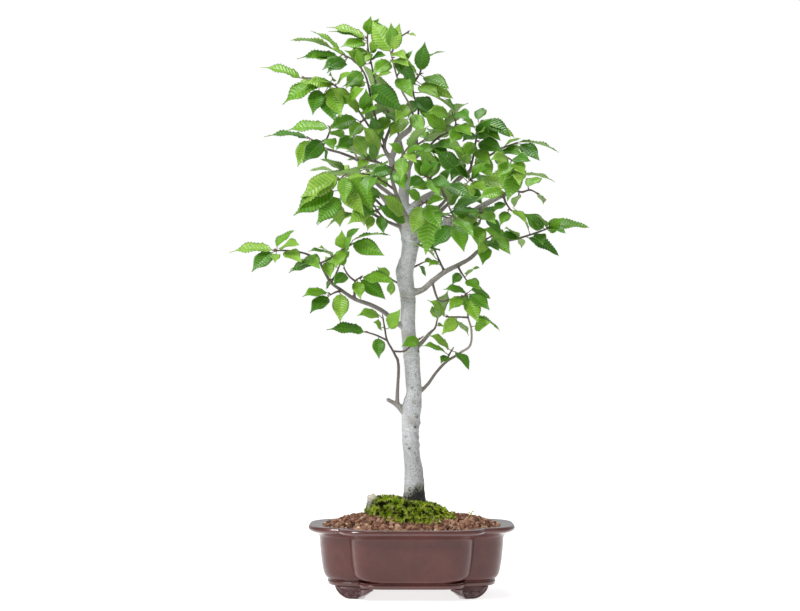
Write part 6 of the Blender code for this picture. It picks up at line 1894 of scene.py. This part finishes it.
def moss_material():
    """Bright green moss with yellow tips, and darker patches that are painted shade between its clumps: dark
    specks and near-black gaps.
    """
    material, look = new_look("live_moss")
    patches, specks = look.mottle(60.0)
    _, painted_gap_shade = look.mottle(30.0)
    _, tips = look.mottle(82.0)
    colour = look.tinted(
        look.ramp(look.attribute("tone"), MOSS_TONES),
        (look.part(patches, 0.4), "C6C03C"),
        # Painted shade between the clumps: dark green specks, then near-black gaps.
        (look.grey(specks, 0.3, 0.75, 0.0, 0.8), "2A4A08"),
        (look.grey(tips, 0.5, 0.85, 0.0, 0.75), "E8EC70"),
        (look.grey(painted_gap_shade, 0.15, 0.42, 0.0, 0.95), "0A1203"),
    )
    look.dress(colour, 0.85, look.bump(specks, 0.4, 0.0004), Specular_IOR_Level=0.15)
    return material


def plain_material(name, code, other, scale, roughness, relief, depth):
    """A dull finish of two close colours, with a fine relief."""
    material, look = new_look(name)
    patches, specks = look.mottle(scale)
    look.dress(look.mixed(patches, code, other), roughness, look.bump(specks, relief, depth))
    return material


# Stage.


def make_stage():
    """A wide white floor under a white sky, soft lights and the camera of the photo."""
    corners = [(x, y, 0.0) for y in (-FLOOR_REACH, FLOOR_REACH) for x in (-FLOOR_REACH, FLOOR_REACH)]
    mesh = bpy.data.meshes.new("studio_floor")
    mesh.from_pydata(corners, [], [(0, 1, 3, 2)])
    floor = helper("studio_floor", mesh)
    material, look = new_look("white_paper")
    look.fill(look.tree.nodes["Principled BSDF"], {
        "Base Color": (0.6, 0.6, 0.6, 1.0), "Roughness": 0.9, "Specular IOR Level": 0.1,
        "Emission Color": "FFFFFF", "Emission Strength": FLOOR_GLOW,
    })
    mesh.materials.append(material)
    world = bpy.data.worlds.new("studio")
    world.use_nodes = True
    sky = Nodes(world.node_tree)
    seen = sky.add("ShaderNodeLightPath").outputs["Is Camera Ray"]
    strength = sky.sums("MULTIPLY_ADD", seen, 1.0 - SKY_LIGHT, SKY_LIGHT)
    sky.fill(sky.tree.nodes["Background"], {"Color": "FFFFFF", "Strength": strength})
    bpy.context.scene.world = world
    bpy.context.scene.view_settings.view_transform = "Standard"
    for name, spot, power, size in LIGHTS:
        light = bpy.data.lights.new(name, "AREA")
        light.energy = power
        light.size = size
        lamp = helper(name, light)
        lamp.location = spot
        lamp.rotation_euler = (LIT_SPOT - Vector(spot)).to_track_quat("-Z", "Y").to_euler()
    camera = helper("camera", bpy.data.cameras.new("camera"))
    camera.data.sensor_width = SENSOR_WIDTH
    camera.data.lens = VIEW_FOCAL * SENSOR_WIDTH / PHOTO_WIDTH
    camera.location = EYE + SHIFT
    camera.rotation_euler = (math.pi / 2 + VIEW_PITCH, 0.0, 0.0)
    bpy.context.scene.camera = camera


make_stage()
MOTTLE = mottle_group()
SCATTER = scatter_tree()
BARK = bark_material()
LEAF = leaf_material()
make_pot(clay_material())
make_screens(plain_material("black_plastic", "1B1B1C", "2A2A2B", 90.0, 0.55, 0.2, 0.0002))
# The bed, seen only in the gaps between the granules, is near black: painted shade between them.
make_soil(plain_material("ground_in_painted_shade", "1A0F0A", "322016", 300.0, 0.95, 0.6, 0.0005), granule_material())
make_moss(moss_material(), plain_material("dry_litter", "E2D8B8", "A08A62", 200.0, 0.85, 0.2, 0.0002))
make_root_stub(BARK)
make_tree(BARK)
for number, name in enumerate(SPRAYS):
    make_spray(name, number, [BARK, LEAF])
